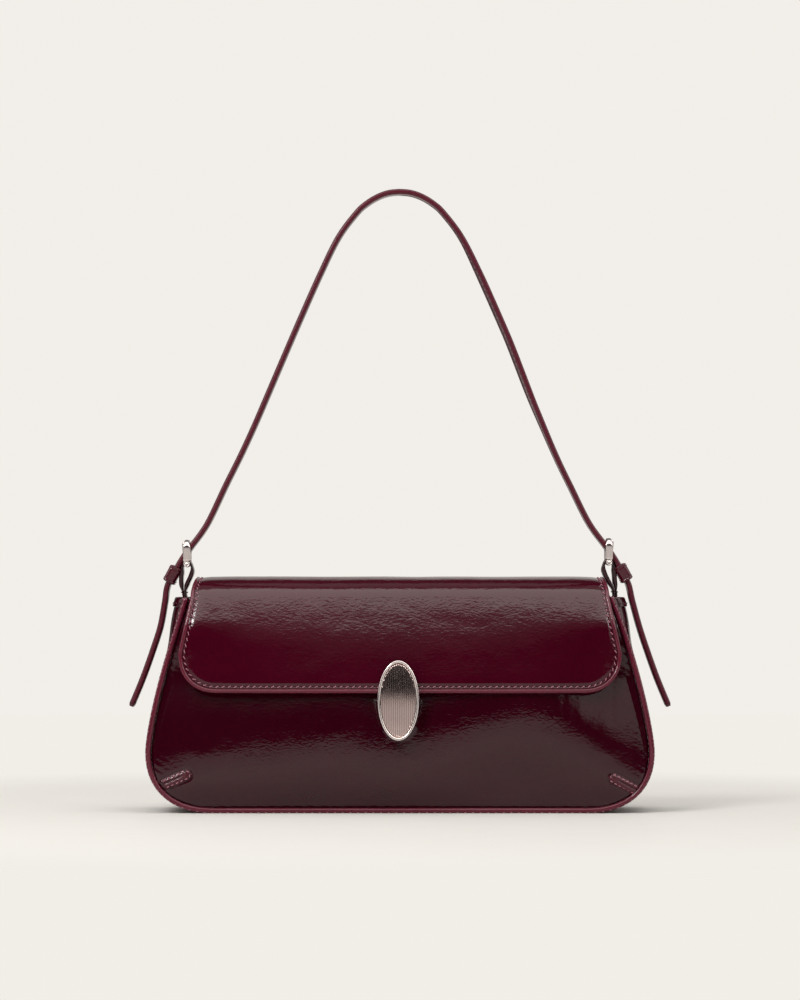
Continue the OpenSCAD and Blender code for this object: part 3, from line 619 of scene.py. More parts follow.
def dart_relief(x, z):
    """How the front panel is drawn in round the stitched tab at each lower corner."""
    rise, reach, before, beyond = 0, 7, 4, 8
    for (x0, z0), (x1, z1) in DARTS:
        run, up = x1 - x0, z1 - z0
        size = hypot(run, up)
        along = ((x - x0) * run + (z - z0) * up) / size
        side = ((x - x0) * up - (z - z0) * run) / size
        if abs(side) > reach or along < -before or along > size + beyond:
            continue
        edge = hypot(max(0, along - size), side) - DART_HALF
        fade = ease((along + before) / 3)
        rise += fade * (0.2 * ease(-edge / 1.6) - 0.5 * exp(-(edge / 0.7) ** 2))
    return rise


def panel_point(x, z, belly, seed, front):
    """Point of a panel's outer face, with its unevenness, puckers at the seam and darts."""
    swell, pucker, pucker_pitch, pull = 0.26, 0.08, 4.2, 0.6
    seam = max(0, min(half_w(max(z, PANEL_INSET), PANEL_INSET) - abs(x), z - PANEL_INSET))
    rise = swell * ease(seam / 14) * waves(x, z, seed)
    rise += pucker * exp(-seam / 4) * sin(2 * pi * (z + 0.6 * x) / pucker_pitch)
    rise -= pull * exp(-seam / 0.8)
    if front:
        return -front_d(x, z) - rise - dart_relief(x, z)
    return panel_d(x, z, belly) + rise


def panel(name, node, belly, seed, front):
    shares = panel_columns()
    grid = []
    for z in body_rows(PANEL_INSET, 60, 66):
        row = []
        for x in [s * half_w(z, PANEL_INSET) for s in shares]:
            inner = LEATHER_T - front_d(x, z) if front else panel_d(x, z, belly) - LEATHER_T
            row.append(((x, panel_point(x, z, belly, seed, front), z), (x, inner, z)))
        grid.append(row)
    # The panels' darker finish is painted shade
    sheet_piece(name, grid, SHADED_BODY_LEATHER, "bag", replaces=[node], slot="patent_leather")


panel("front_leather", "front_panel", FRONT_BELLY, 1, True)
panel("back_leather", "back_panel", BACK_BELLY, 2, False)


def body_line(e, corner_steps=26, side_steps=44, base_steps=40):
    """The body's outline from the left mouth round the base to the right mouth, drawn in by e."""
    up = [(half_w(z, e), z) for z in body_rows(e, corner_steps, side_steps)]
    base = [(x, e) for x in steps(-BASE_FLAT_W / 2, BASE_FLAT_W / 2, base_steps)][1:-1]
    return [(-x, z) for x, z in reversed(up)] + base + up


def gusset():
    """The long strip round the sides and base, with its soft outward bow near the mouth."""
    line = [Vector((x, 0, z)) for x, z in body_line(0)]
    grid = []
    for i, p in enumerate(line):
        along = tangent(line, i)
        out = Vector((along.z, 0, -along.x))
        deep = seam_d(p.z) - GUSSET_EDGE
        row = []
        for s in column_shares(26):
            soft = 0.3 * waves(3 * s * deep, p.z + abs(p.x), 5, 26) * (1 - s ** 4) if p.z > 3 else 0
            spot = p + Vector((copysign(bow_at(p.z, s), p.x), s * deep, 0))
            row.append((spot + min(soft, 0.35) * out, spot - LEATHER_T * out))
        grid.append(row)
    sheet_piece("gusset_leather", grid, SIDE, "bag",
                replaces=["base_panel", "left_gusset", "right_gusset"], slot="patent_leather")


gusset()


def piping():
    """A corded edge round each panel, with the row sewn beside it."""
    rows = []
    for side, name in ((-1, "front"), (1, "back")):
        path = [Vector((x, side * seam_d(z), z)) for x, z in body_line(PIPING_R, 40, 70, 90)]
        section_piece(name + "_piping_cord", tube_rings(path, DEPTH, PIPING_R), TRIM,
                      "bag", replaces=[name + "_piping"], slot="patent_trim")
        outs = []
        for p, (along, up, across) in zip(path, frames_along(path, DEPTH)):
            outward = 1 if up.dot(p - Vector((0, p.y, 60))) > 0 else -1
            outs.append(0.72 * outward * up + 0.7 * side * DEPTH)
        seam = [p + (PIPING_R - 0.05) * out.normalized() for p, out in zip(path, outs)]
        rows.append(sewn_row(seam, lambda i, outs=outs: outs[i], 4.2, 1))
    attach(stitches("piping_stitches", rows, 1.7, 0.2, 0.28, 0.5), "bag")


piping()


def gusset_band(name, place):
    """Folded leather band over the gusset's top edge."""
    def spot(s, out, lift, deep):
        z = min(MOUTH_H + lift, MOUTH_H)
        return place((half_w(z, 0) + bow_at(z, s) + out, s * (deep - GUSSET_EDGE), MOUTH_H + lift))

    profile = [(0.15, -4.6), (0.5, -4.85), (1.0, -4.6), (1.25, -4.0), (1.25, -0.6), (1.15, 0.1), (0.8, 0.55),
               (0.15, 0.6), (-0.7, 0.55), (-1.1, 0.1), (-1.2, -0.5), (-1.0, -0.9), (0.15, -0.9)]
    rings = [[spot(s, out if out > 0 else out - LEATHER_T, lift, seam_d(MOUTH_H)) for out, lift in profile]
             for s in column_shares(24)]
    section_piece(name + "_band", rings, SIDE, "bag", replaces=[name + "_gusset_band"], slot="patent_trim")
    drop = 2.9
    line = [spot(s, 1.28, -drop, seam_d(MOUTH_H - drop)) for s in steps(-0.9, 0.9, 24)]
    rows = [sewn_row(line, place((1, 0, 0)), 3.6)]
    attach(stitches(name + "_band_stitches", rows, 2.3, 0.22, 0.3, 0.12), "bag")


two_ends(gusset_band)


# Inside

LINING_POWER = 0.35


def lining_ring(t, e, soft):
    """Ring of the lining at share t of its height, drawn in by e."""
    z = between(LEATHER_T + BOARD_T + 2 * CLEAR + e, MOUTH_H - FACING_H - CLEAR, t)
    w = half_w(max(z, PANEL_INSET), PANEL_INSET + LEATHER_T + CLEAR + e)
    ring = []
    for a in turns(180, 0.5):
        belly = FRONT_BELLY if sin(a) < 0 else BACK_BELLY
        deep = seam_d(z) - PANEL_INSET - CLEAR + 0.5 * belly * bulge_up(z) - e
        x, y = w * squarer(cos(a), LINING_POWER), deep * squarer(sin(a), LINING_POWER)
        crease = 0.7 * soft * max(0, waves(x + 0.4 * y, z, 8, 17)) * ease(t * 6)
        ring.append(Vector((x * (1 - crease / w), y * (1 - crease / deep), z)))
    return ring


def lining():
    """The cloth bag inside, up its outer face, over its rim and down its inner face."""
    levels = [t * t for t in steps(0, 1, 34)]
    rings = [lining_ring(t, 0, 0.4) for t in levels] + [lining_ring(t, LINING_T, 1) for t in levels[::-1]]
    section_piece("lining_bag", rings, LINING, "bag", replaces=["lining"], slot="lining_cloth")


def facing(name, side, belly):
    """Leather facing of a panel inside the mouth, and the row along its lower edge."""
    def spot(x, z, thick):
        return Vector((x, side * (panel_d(x, z, belly) - LEATHER_T - CLEAR - thick), z))

    grid = []
    for z in steps(MOUTH_H - FACING_H, MOUTH_H, 10):
        xs = [s * half_w(z, PANEL_INSET + LEATHER_T + CLEAR) for s in steps(-1, 1, 60)]
        grid.append([(spot(x, z, 0), spot(x, z, FACING_T)) for x in xs])
    sheet_piece(name + "_facing_leather", grid, INNER, "bag", replaces=[name + "_facing"],
                slot="patent_leather")
    line = [spot(x, MOUTH_H - FACING_H + 2.2, FACING_T) for x in steps(-104, 104, 60)]
    return sewn_row(line, Vector((0, -side, 0)), 3.6)


def pocket():
    """Slip pocket on the back of the lining, its mouth a little open, and the row along that."""
    low = MOUTH_H * 0.24
    grid = []
    for i, z in enumerate(steps(low, low + POCKET_H, 24)):
        wall = seam_d(z) - PANEL_INSET - CLEAR + 0.5 * BACK_BELLY * bulge_up(z) - LINING_T - 0.7
        row = []
        for x in steps(-POCKET_W / 2, POCKET_W / 2, 60):
            gape = 1.1 * ease(i / 24) ** 2 * (1 - (2 * x / POCKET_W) ** 2)
            row.append((Vector((x, wall - LINING_T - gape, z)), Vector((x, wall, z))))
        grid.append(row)
    sheet_piece("pocket_cloth", grid, LINING, "bag", replaces=["slip_pocket"], slot="lining_cloth")
    return sewn_row([pair[0] for pair in grid[22]], -DEPTH, 3.2, 3)


def anchor_pad(name, place):
    """Leather patch inside each end, that the buckle's loop is sewn against."""
    low, high, half = MOUTH_H - STRAP_W, MOUTH_H - 1, 7
    near = BUCKLE_X + CHAPE_T + SEAM_GAP / 2 + CLEAR
    grid = []
    for z in steps(low, high, 16):
        row = []
        for y in steps(-half, half, 16):
            puff = 0.9 * (1 - rounded(min(half - abs(y), z - low, high - z) / 1.2))
            far = half_w(z, LEATHER_T) + bow_at(z, y / (seam_d(z) - GUSSET_EDGE)) - CLEAR
            row.append((place((near + puff, y, z)), place((max(far, near + puff + CLEAR), y, z))))
        grid.append(row)
    sheet_piece(name + "_pad_leather", grid, INNER, "bag", replaces=[name + "_anchor_pad"],
                slot="patent_leather")


lining()
inner_rows = [facing("front", -1, FRONT_BELLY), facing("back", 1, BACK_BELLY), pocket()]
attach(stitches("lining_stitches", inner_rows, 2.4, 0.2, 0.25), "bag")
two_ends(anchor_pad)


# Flap

ROLL_FRONT_Y = -MOUTH_D / 2 - FLAP_OFF
ROLL_TOP = MOUTH_H + ROLL_RISE - FLAP_T / 2
ROLL_CONTROL_Z = (8 * ROLL_TOP - HINGE_Z - MOUTH_H) / 6
ROLL = [Vector((HINGE_Y, HINGE_Z)), Vector((HINGE_Y - 0.3 * FLAP_OFF, ROLL_CONTROL_Z)),
        Vector((ROLL_FRONT_Y + 4.6, ROLL_CONTROL_Z)), Vector((ROLL_FRONT_Y, MOUTH_H))]
CORNER_TOP = LIP_H + FLAP_R
FLAP_SEAM = 5.2


def flap_z(s):
    """Height of the flap's front at station s."""
    return between(MOUTH_H, LIP_H, s - 1)


def flap_station(z):
    return 1 + (MOUTH_H - z) / (MOUTH_H - LIP_H)


def face_d(x, z):
    """Half depth of the flap's face: as packed, but it turns evenly out of the roll, without a hollow under
    it."""
    slope, turn, joint, start = 0.408, 0.0025, 104, 98

    def packed(z):
        return panel_d(x, z, FRONT_BELLY) + 9.2e-5 * (z - LIP_H) ** 2 * (MOUTH_H - z)

    def even(z):
        return packed(MOUTH_H) + slope * (MOUTH_H - z) - turn * (MOUTH_H - z) ** 2

    joined = packed(z) + (even(joint) - packed(joint)) * (1 - ease((joint - z) / 24))
    return between(joined, even(z), ease((z - start) / 12))


def flap_line(x, s):
    """Depth and height of the flap's middle surface; s runs 0 seam, 1 mouth, 2 lip."""
    if s <= 1:
        u = 1 - s
        return u ** 3 * ROLL[0] + 3 * u * u * s * ROLL[1] + 3 * u * s * s * ROLL[2] + s ** 3 * ROLL[3]
    z = flap_z(s)
    return Vector((-face_d(x, z) - FLAP_OFF, z))


def flap_point(x, s, off):
    """Point of the flap, off outside its middle surface."""
    a, b = flap_line(x, s - 0.002), flap_line(x, s + 0.002)
    t = (b - a).normalized()
    p = flap_line(x, s)
    return Vector((x, p[0] + off * t[1], p[1] - off * t[0]))


def flap_half_w(s, e):
    """Half width of the flap at station s, drawn in by e."""
    z = flap_z(s)
    shoulder = FLAP_TOP_HALF + 0.25 * (FLAP_HALF - FLAP_TOP_HALF)
    if s <= 1:
        return between(FLAP_TOP_HALF, shoulder, ease(2 * s - 1)) - e
    if z >= CORNER_TOP:
        return between(shoulder, FLAP_HALF, (MOUTH_H - z) / (MOUTH_H - CORNER_TOP)) - e
    return corner_w(z, e, LIP_H, FLAP_R, FLAP_HALF - FLAP_R, FLAP_R)


def flap_stations(e):
    """Stations of the rows of the flap's grid, close together at its corners."""
    front = steps(1, flap_station(CORNER_TOP), 22)[:-1]
    corner = [flap_station(CORNER_TOP - (FLAP_R - e) * sin(pi / 2 * t) ** (2 / CORNER_POWER))
              for t in steps(0, 1, 20)]
    return steps(0.02, 1, 40)[:-1] + front + corner


def flap_lift(x, s):
    """Soft unevenness of the flap's padded face, which falls towards the seam at its ends and lip."""
    end, lip = flap_half_w(s, 0) - abs(x) - FLAP_SEAM, (2 - s) * (MOUTH_H - LIP_H) - FLAP_SEAM
    pull = max(0.46 * exp(-end / 3.6), 0.13 * exp(-lip / 1.5))
    return 0.2 * ease(min(end, lip) / 14) * waves(x, flap_z(s), 11, 30) - pull


def flap_grid(e, off, step=0, wavy=True):
    """Grid of points over the flap, e inside its edge; the seam row moves out by step."""
    grid = []
    for i, s in enumerate(flap_stations(e)):
        s = s - 0.0015 * step if i == 0 else s
        xs = [u * flap_half_w(s, e) for u in column_shares(150)]
        grid.append([flap_point(x, s, off + (flap_lift(x, s) if wavy else 0)) for x in xs])
    return grid


def flap_layer(name, profile, material, **rest):
    """A layer of the flap: its face, the rolled edge that profile gives as (inset, height), its back."""
    top = flap_grid(*profile[0], 0)
    under = flap_grid(*profile[-1], len(profile), False)
    n, m = len(top), len(top[0])
    rim = ([(0, j) for j in range(m)] + [(i, m - 1) for i in range(1, n)]
           + [(n - 1, j) for j in range(m - 2, -1, -1)] + [(i, 0) for i in range(n - 2, 0, -1)])
    points = [p for row in top for p in row]
    rings = [[i * m + j for i, j in rim]]
    for k, (e, off) in enumerate(profile[1:-1], 1):
        grid = flap_grid(e, off, k, False)
        rings.append([len(points) + q for q in range(len(rim))])
        points += [grid[i][j] for i, j in rim]
    base = len(points)
    rings.append([base + q for q in rings[0]])
    points += [p for row in under for p in row]
    faces = [[at + q for q in (i * m + j, (i + 1) * m + j, (i + 1) * m + j + 1, i * m + j + 1)]
             for at in (0, base) for i in range(n - 1) for j in range(m - 1)]
    for ring, after in zip(rings, rings[1:]):
        faces += [(ring[q - 1], after[q - 1], after[q], ring[q]) for q in range(len(rim))]
    over_fold(piece(name, points, faces, material, **rest))


def over_fold(made):
    """Bakes the piece's placement into its mesh; nothing bends it at the fold between the strip over the mouth
    and the front.
    """
    a, b = flap_line(0, 0.7), flap_line(0, 0.9)
    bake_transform(made)


def flap_edge(e, off):
    """Points round the flap's free edge with the outward direction at each."""
    stations = flap_stations(e)
    right = [(flap_half_w(s, e), s) for s in stations]
    lip = [(u * flap_half_w(2, e), stations[-1]) for u in steps(1, -1, 80)][1:-1]
    places = right + lip + [(-x, s) for x, s in reversed(right)]
    points = [flap_point(x, s, off) for x, s in places]
    return points, [flap_point(x, s, off + 1) - p for (x, s), p in zip(places, points)]


flap_layer("flap_leather", [(FLAP_SEAM, 1.4), (4.6, 0.88), (4.1, 0.76), (3.7, 0.66), (3.35, 0.6),
                            (3.0, 0.7), (2.6, 0.84), (2.3, 0.78), (2.2, 0.6), (2.2, 0.08)], PATENT,
           replaces=["flap_top_leather", "flap_front_leather", "flap_front_board"], slot="patent_leather")
flap_layer("flap_lining", [(4.4, 0.02), (2.3, 0.02), (2.2, -0.5), (2.5, -1.15), (3.0, -1.22), (3.4, -1.05),
                           (3.8, -1.25), (5.0, -1.3)], INNER,
           replaces=["flap_top_lining", "flap_front_lining"], slot="lining_cloth")

bead_path, bead_outs = flap_edge(1.2, 0)
bead_frames = frames_along(bead_path, lambda i: bead_outs[i].cross(tangent(bead_path, i)).normalized())
bead = section_piece("flap_bead", [
    [p + 1.2 * cos(a) * across + 1.36 * sin(a) * out.normalized() for a in turns(12)]
    for p, out, (along, up, across) in zip(bead_path, bead_outs, bead_frames)],
    TRIM, replaces=["flap_top_edging", "flap_front_edging"], slot="patent_trim")
over_fold(bead)

edge_path, edge_outs = flap_edge(3.35, 0.66)
under_path, under_outs = flap_edge(3.4, -1.12)
flap_rows = [sewn_row(edge_path, lambda i: edge_outs[i], 3.4, 2),
             sewn_row(under_path, lambda i: -under_outs[i], 3.4, 2)]
over_fold(stitches("flap_stitches", flap_rows, 2.1, 0.25, 0.42, 0.5))


def flap_tail():
    """The flap's tail: a strip sewn down on the back panel, which runs up into the roll."""
    reach = FLAP_TOP_HALF - 2.2
    grid = []
    for x in [u * reach for u in column_shares(120)]:
        upper = [flap_line(x, s) for s in (0.2, 0.14, 0.08, 0.03)]
        middle = [(panel_d(x, 117, BACK_BELLY) + 0.55, 116.6)]
        lower = [(panel_d(x, z, BACK_BELLY) + 0.1, z) for z in (113, 110, 107, 104)]
        curve = spline(upper + middle + lower, 6)
        last = len(curve) - 1
        row = []
        for i, p in enumerate(curve):
            t = tangent(curve, i)
            n = Vector((-t[1], t[0])) * (1 if t[1] < 0 else -1)
            thick = 0.95 * rounded(min((reach - abs(x)) / 1.2, i / 3, (last - i) / 3)) + 0.12
            low = p + 1.32 * (1 - ease((i - 12) / 10)) * n
            row.append((Vector((x, *(low + thick * n))), Vector((x, *low))))
        grid.append(row)
    made = sheet_piece("flap_tail", grid, PATENT, slot="patent_leather")
    rows = []
    for i in (-7, -22):
        path = [row[i][0] for row in grid][3:-3]
        rows.append(sewn_row(path, Vector((0, 1, 0.1)), 4.2))
    thread = stitches("flap_tail_stitches", rows, 2.9, 0.27, 0.36, 0.2)
    for obj in (made, thread):
        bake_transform(obj)


flap_tail()


# Closure

# How far the photo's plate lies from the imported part's
PLATE_RIGHT, PLATE_UP = -0.9, 1.4


def plate_frame():
    """The oval plate's own frame: X across, Y up the plate, Z outward."""
    plate_z = LIP_H - PLATE_HANG
    low = plate_z - 0.25 * PLATE_L
    cup_back = panel_d(0, low, FRONT_BELLY) + STRIKER_T + CLEAR + CUP_H
    clear = min((cup_back - panel_d(0, z, FRONT_BELLY) - FLAP_GAP - FLAP_T - 0.2) / (z - low)
                for z in steps(LIP_H, plate_z + PLATE_L / 2, 6))
    lean = min(tan(PLATE_TILT), clear)
    back = (plate_z - low) * lean - cup_back
    return (Matrix.Translation((PLATE_RIGHT, back, plate_z + PLATE_UP))
            @ Matrix.Rotation(pi / 2 - atan(lean), 4, "X"))


PLATE = plate_frame()
RIM_W, FLOOR_T = 1.7, 1.1


def oval(inset, z):
    return [PLATE @ Vector(((PLATE_W / 2 - inset) * cos(a), (PLATE_L / 2 - inset) * sin(a), z))
            for a in turns(120)]


def closure():
    """The plate's rim, and its fluted face inside that."""
    shoulder = PLATE_T - 0.75
    profile = [(0.25, 0.0), (0.0, 0.25), (0.0, shoulder), (0.12, PLATE_T - 0.3), (0.42, PLATE_T - 0.05),
               (0.75, PLATE_T), (1.15, PLATE_T - 0.04), (1.5, PLATE_T - 0.28), (RIM_W, shoulder),
               (RIM_W, FLOOR_T)]
    section_piece("closure_bezel", [oval(e, z) for e, z in profile], NICKEL, "flap_front",
                  replaces=["closure_rim"], slot="nickel")
    w, l = PLATE_W / 2 - RIM_W - 0.05, PLATE_L / 2 - RIM_W - 0.05
    per_flute = 10
    grid = []
    for i, x in enumerate(steps(-w, w, FLUTES * per_flute)):
        x = max(-w * 0.9985, min(w * 0.9985, x))
        reach = l * sqrt(1 - (x / w) ** 2)
        wave = abs(sin(pi * i / per_flute)) ** 0.7
        row = []
        for y in [v * reach for v in crowded(40)]:
            dome = 0.9 * (1 - (y / l) ** 2) + 0.2 * (1 - (x / w) ** 2)
            high = 0.1 + (0.6 + dome + 0.5 * wave) * rounded((reach - abs(y)) / 0.7)
            row.append([PLATE @ Vector((x, y, FLOOR_T + z)) for z in (high, 0.05)])
        grid.append(row)
    # The fluted face's red tint is painted reflection
    sheet_piece("closure_flutes", grid, REDDENED_FLUTED_NICKEL, "flap_front", replaces=["fluted_plate"], slot="nickel")


closure()


# Strap

CHAPE_OUT = HEEL_R + 0.06 + CHAPE_T
CROSS_RISE = (CHAPE_OUT + 0.25 + STRAP_T / 2) / cos(CROSS_ANGLE)
CROSS_Z = HEEL_Z + CROSS_RISE
FRAME_H = CROSS_RISE + (FRAME_R + STRAP_T / 2 + 0.4) / cos(CROSS_ANGLE)
ARCH_SHARES = [(0, 1), (0.052, 0.997), (0.103, 0.987), (0.156, 0.969), (0.206, 0.943), (0.292, 0.877),
               (0.377, 0.779), (0.472, 0.658), (0.557, 0.546), (0.66, 0.409), (0.748, 0.293), (0.82, 0.207),
               (0.906, 0.106)]
TAIL_SHARES = [(0.137, 0.077), (0.241, 0.149), (0.345, 0.222), (0.398, 0.327), (0.491, 0.483), (0.627, 0.64),
               (0.799, 0.819), (1, 1)]
CROSS_DIR = Vector((cos(CROSS_ANGLE), -sin(CROSS_ANGLE)))
TAIL = [Vector((BUCKLE_X + a * TAIL_OUT, CROSS_Z - b * TAIL_DROP)) for a, b in TAIL_SHARES]
STRAP_HALF = spline([(a * BUCKLE_X, HEEL_Z + b * STRAP_RISE) for a, b in ARCH_SHARES]
                    + [Vector((BUCKLE_X, CROSS_Z)) + 3 * d * CROSS_DIR for d in (-1, 0, 1)] + TAIL, 12)
STRAP_RIGHT = [Vector((p[0], 0, p[1])) for p in STRAP_HALF]
STRAP_LINE = [Vector((-p.x, 0, p.z)) for p in reversed(STRAP_RIGHT[1:])] + STRAP_RIGHT


def strap_turn(p):
    """The slight twist of the right leg, which shows a sliver of its inner face from the front."""
    return radians(-6.5) * ease((p.z - 190) / 50) * ease((330 - p.z) / 40) if p.x > 0 else 0


def strap_frames(path):
    """Tangent, outward normal and side of the strap at each point, with its twist."""
    found = []
    for p, (along, up, across) in zip(path, frames_along(path, DEPTH)):
        turn = Matrix.Rotation(strap_turn(p), 3, along)
        found.append((along, turn @ up, turn @ across))
    return found


def both_sides(shares):
    """Shares from 0 to 1, also below 0."""
    return [-s for s in reversed(shares[1:])] + shares


def strap():
    path = [STRAP_LINE[i].lerp(STRAP_LINE[i + 1], t) for i, t in walk(STRAP_LINE, 1.5)]
    dirs = strap_frames(path)
    last = len(path) - 1
    grid = []
    for i, (p, (along, up, across)) in enumerate(zip(path, dirs)):
        tip = rounded((min(i, last - i) + 0.4) / 1.2)
        row = []
        for s in both_sides([0, 0.167, 0.4, 0.6, 0.76, 0.86, 0.94, 0.985, 1]):
            groove = 0.22 * exp(-((abs(s) * 6 - 4.6) / 0.5) ** 2)
            edge = 0.45 + 0.55 * rounded((1 - abs(s)) / 0.14)
            thick = (STRAP_T / 2 + 0.42 * (1 - s * s)) * edge * tip - groove
            middle = p + s * STRAP_W / 2 * across
            row.append((middle + thick * up, middle - thick * up))
        grid.append(row)
    slots = [i for i, p in enumerate(path)
             if abs(abs(p.x) - BUCKLE_X - 0.2) < 2.6 and abs(p.z - CROSS_Z) < 5]
    sheet_piece("strap_band", grid, STRAP, "strap", replaces=["strap_leather", "strap_lining"],
                keep=lambda i, j: not (i in slots and 7 <= j <= 8), slot="patent_leather")
    rows = []
    for s in (-1, 1):
        for face in (-1, 1):
            row_path = [p + s * 4.6 * across + face * (STRAP_T / 2 - 0.1) * up
                        for p, (along, up, across) in zip(path, dirs)]
            rows.append(sewn_row(row_path, lambda i, face=face: face * dirs[i][1], 3.5, 2.5))
    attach(stitches("strap_stitches", rows, 2.3, 0.17, 0.14), "strap")
    for s, name in ((-1, "front"), (1, "back")):
        rings = [[p + (s * (STRAP_W / 2 - 0.45) + 0.65 * cos(a)) * across + 1.2 * sin(a) * up
                  for a in turns(14)] for p, (along, up, across) in zip(path[1:-1], dirs[1:-1])]
        section_piece("strap_edge_" + name, rings, EDGE, "strap", slot="patent_trim")


strap()

CHAPE_LEAN = 2.2


def chape(name, place):
    """Leather loop round the heel bar; its joined legs lean outward and go down inside the mouth."""
    home = Vector((BUCKLE_X, 0, 0))
    join = SEAM_GAP / 2 + CHAPE_T / 2
    swing = MOUTH_H - STRAP_W / 2
    pinch = swing + STRAP_W / 2 + 0.2 * (HEEL_Z - MOUTH_H)
    inner = [(-join, pinch - HEEL_Z), (-1.7, -10.8), (-2.5, -7), (-2.9, -4), (-2.8, -2), (-2.2, 0),
             (-1.3, 1.2)]
    outer = [(0, 1.66), (1.3, 1.2), (2.1, 0), (2.6, -2), (2.8, -4), (2.6, -7), (1.7, -10.8),
             (join, pinch - HEEL_Z)]
    loop = [Vector((x, 0, HEEL_Z + z)) for x, z in spline(inner + outer, 5)]
    leg = steps(swing - STRAP_W / 2 + 0.1, pinch, 14)[:-1]
    path = [Vector((-join, 0, z)) for z in leg] + loop + [Vector((join, 0, z)) for z in reversed(leg)]
    grid = []
    for p, (along, up, across) in zip(path, frames_along(path, DEPTH)):
        half = sqrt(max(0.04, 36 - max(0, swing - p.z) ** 2))
        fuller = 0.65 * ease((HEEL_Z - 0.5 - p.z) / 5) * ease((p.z - pinch) / 4)
        out = CHAPE_LEAN * ease((HEEL_Z - 3 - p.z) / 12) * ease((p.z - MOUTH_H + 1.5) / 2.5)
        row = []
        for s in both_sides([0, 0.208, 0.4, 0.6, 0.8, 0.9, 0.97, 1]):
            thick = (CHAPE_T / 2 + fuller) * (0.3 + 0.7 * rounded((1 - abs(s)) / 0.2))
            middle = home + Vector((out, 0, 0)) + p + s * half * across
            row.append((place(middle + thick * up), place(middle - thick * up)))
        grid.append(row)
    open_rows = {i for i, p in enumerate(path) if p.z > HEEL_Z - 1.9}
    # The loop's near-black finish is painted shade
    sheet_piece(name + "_chape_loop", grid, SHADED_LOOP_LEATHER, "strap", replaces=[name + "_chape"],
                keep=lambda i, j: not (i in open_rows and i + 1 in open_rows and 6 <= j <= 7),
                slot="patent_trim")
    rows = []
    for face in (-1, 1):
        line = [place(home + Vector((CHAPE_LEAN + face * 1.5, y, pinch - 0.6))) for y in steps(-4.6, 4.6, 8)]
        rows.append(sewn_row(line, place((face, 0, 0)), 2.6))
    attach(stitches(name + "_chape_stitches", rows, 1.8, 0.2, 0.3), "strap")


def keeper(name, place):
    """Puffy stitched loop round the strap's loose end."""
    centre = (TAIL[0] + TAIL[1] + TAIL[2]) / 3
    run = TAIL[2] - TAIL[0]
    along = Vector((run[0], 0, run[1])).normalized()
    up = Vector((-along.z, 0, along.x))
    middle = Vector((centre[0], 0, centre[1]))
    half_y, half_n = STRAP_W / 2 + 0.25 + KEEPER_T / 2, STRAP_T / 2 + 0.25 + KEEPER_T / 2
    radius, stitch_at, loop = 1.5, 3.1, []
    for cy, cn, start in ((1, 1, 0), (-1, 1, 90), (-1, -1, 180), (1, -1, 270)):
        for a in steps(radians(start), radians(start + 90), 7):
            c, s = cos(a), sin(a)
            loop.append((cy * (half_y - radius) + radius * c, cn * (half_n - radius) + radius * s, c, s))
    grid = []
    for t in crowded(22):
        edge = sqrt(max(0, 1 - abs(t) ** 7))
        groove = 0.24 * exp(-((abs(t) * KEEPER_L / 2 - stitch_at) / 0.42) ** 2)
        rim = 0.5 * exp(-((abs(t) - 0.86) / 0.12) ** 2)
        puff = (KEEPER_T / 2 + 0.15 + rim - groove) * edge
        inner = (KEEPER_T / 2) * (0.35 + 0.65 * edge)
        base = middle + t * 1.1 * KEEPER_L / 2 * along
        grid.append([[place(base + Vector((0, y + f * c, 0)) + (n + f * s) * up)
                      for f in (puff + 0.95 * edge * ease(s + 0.1), -inner)] for y, n, c, s in loop])
    body = name + "_keeper"
    sheet_piece(name + "_keeper_loop", grid, STRAP, body, wrap=True, replaces=[body],
                slot="patent_leather")
    rows = []
    for t in (-1, 1):
        base = middle + t * stitch_at * along
        for face in (-1, 1):
            high = half_n + (1.62 if face > 0 else 0.68)
            line = [place(base + Vector((0, y, 0)) + face * high * up) for y in steps(-4.8, 4.8, 6)]
            rows.append(sewn_row(line, place(face * up), 2.5))
    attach(stitches(name + "_keeper_stitches", rows, 1.7, 0.2, 0.32), body)


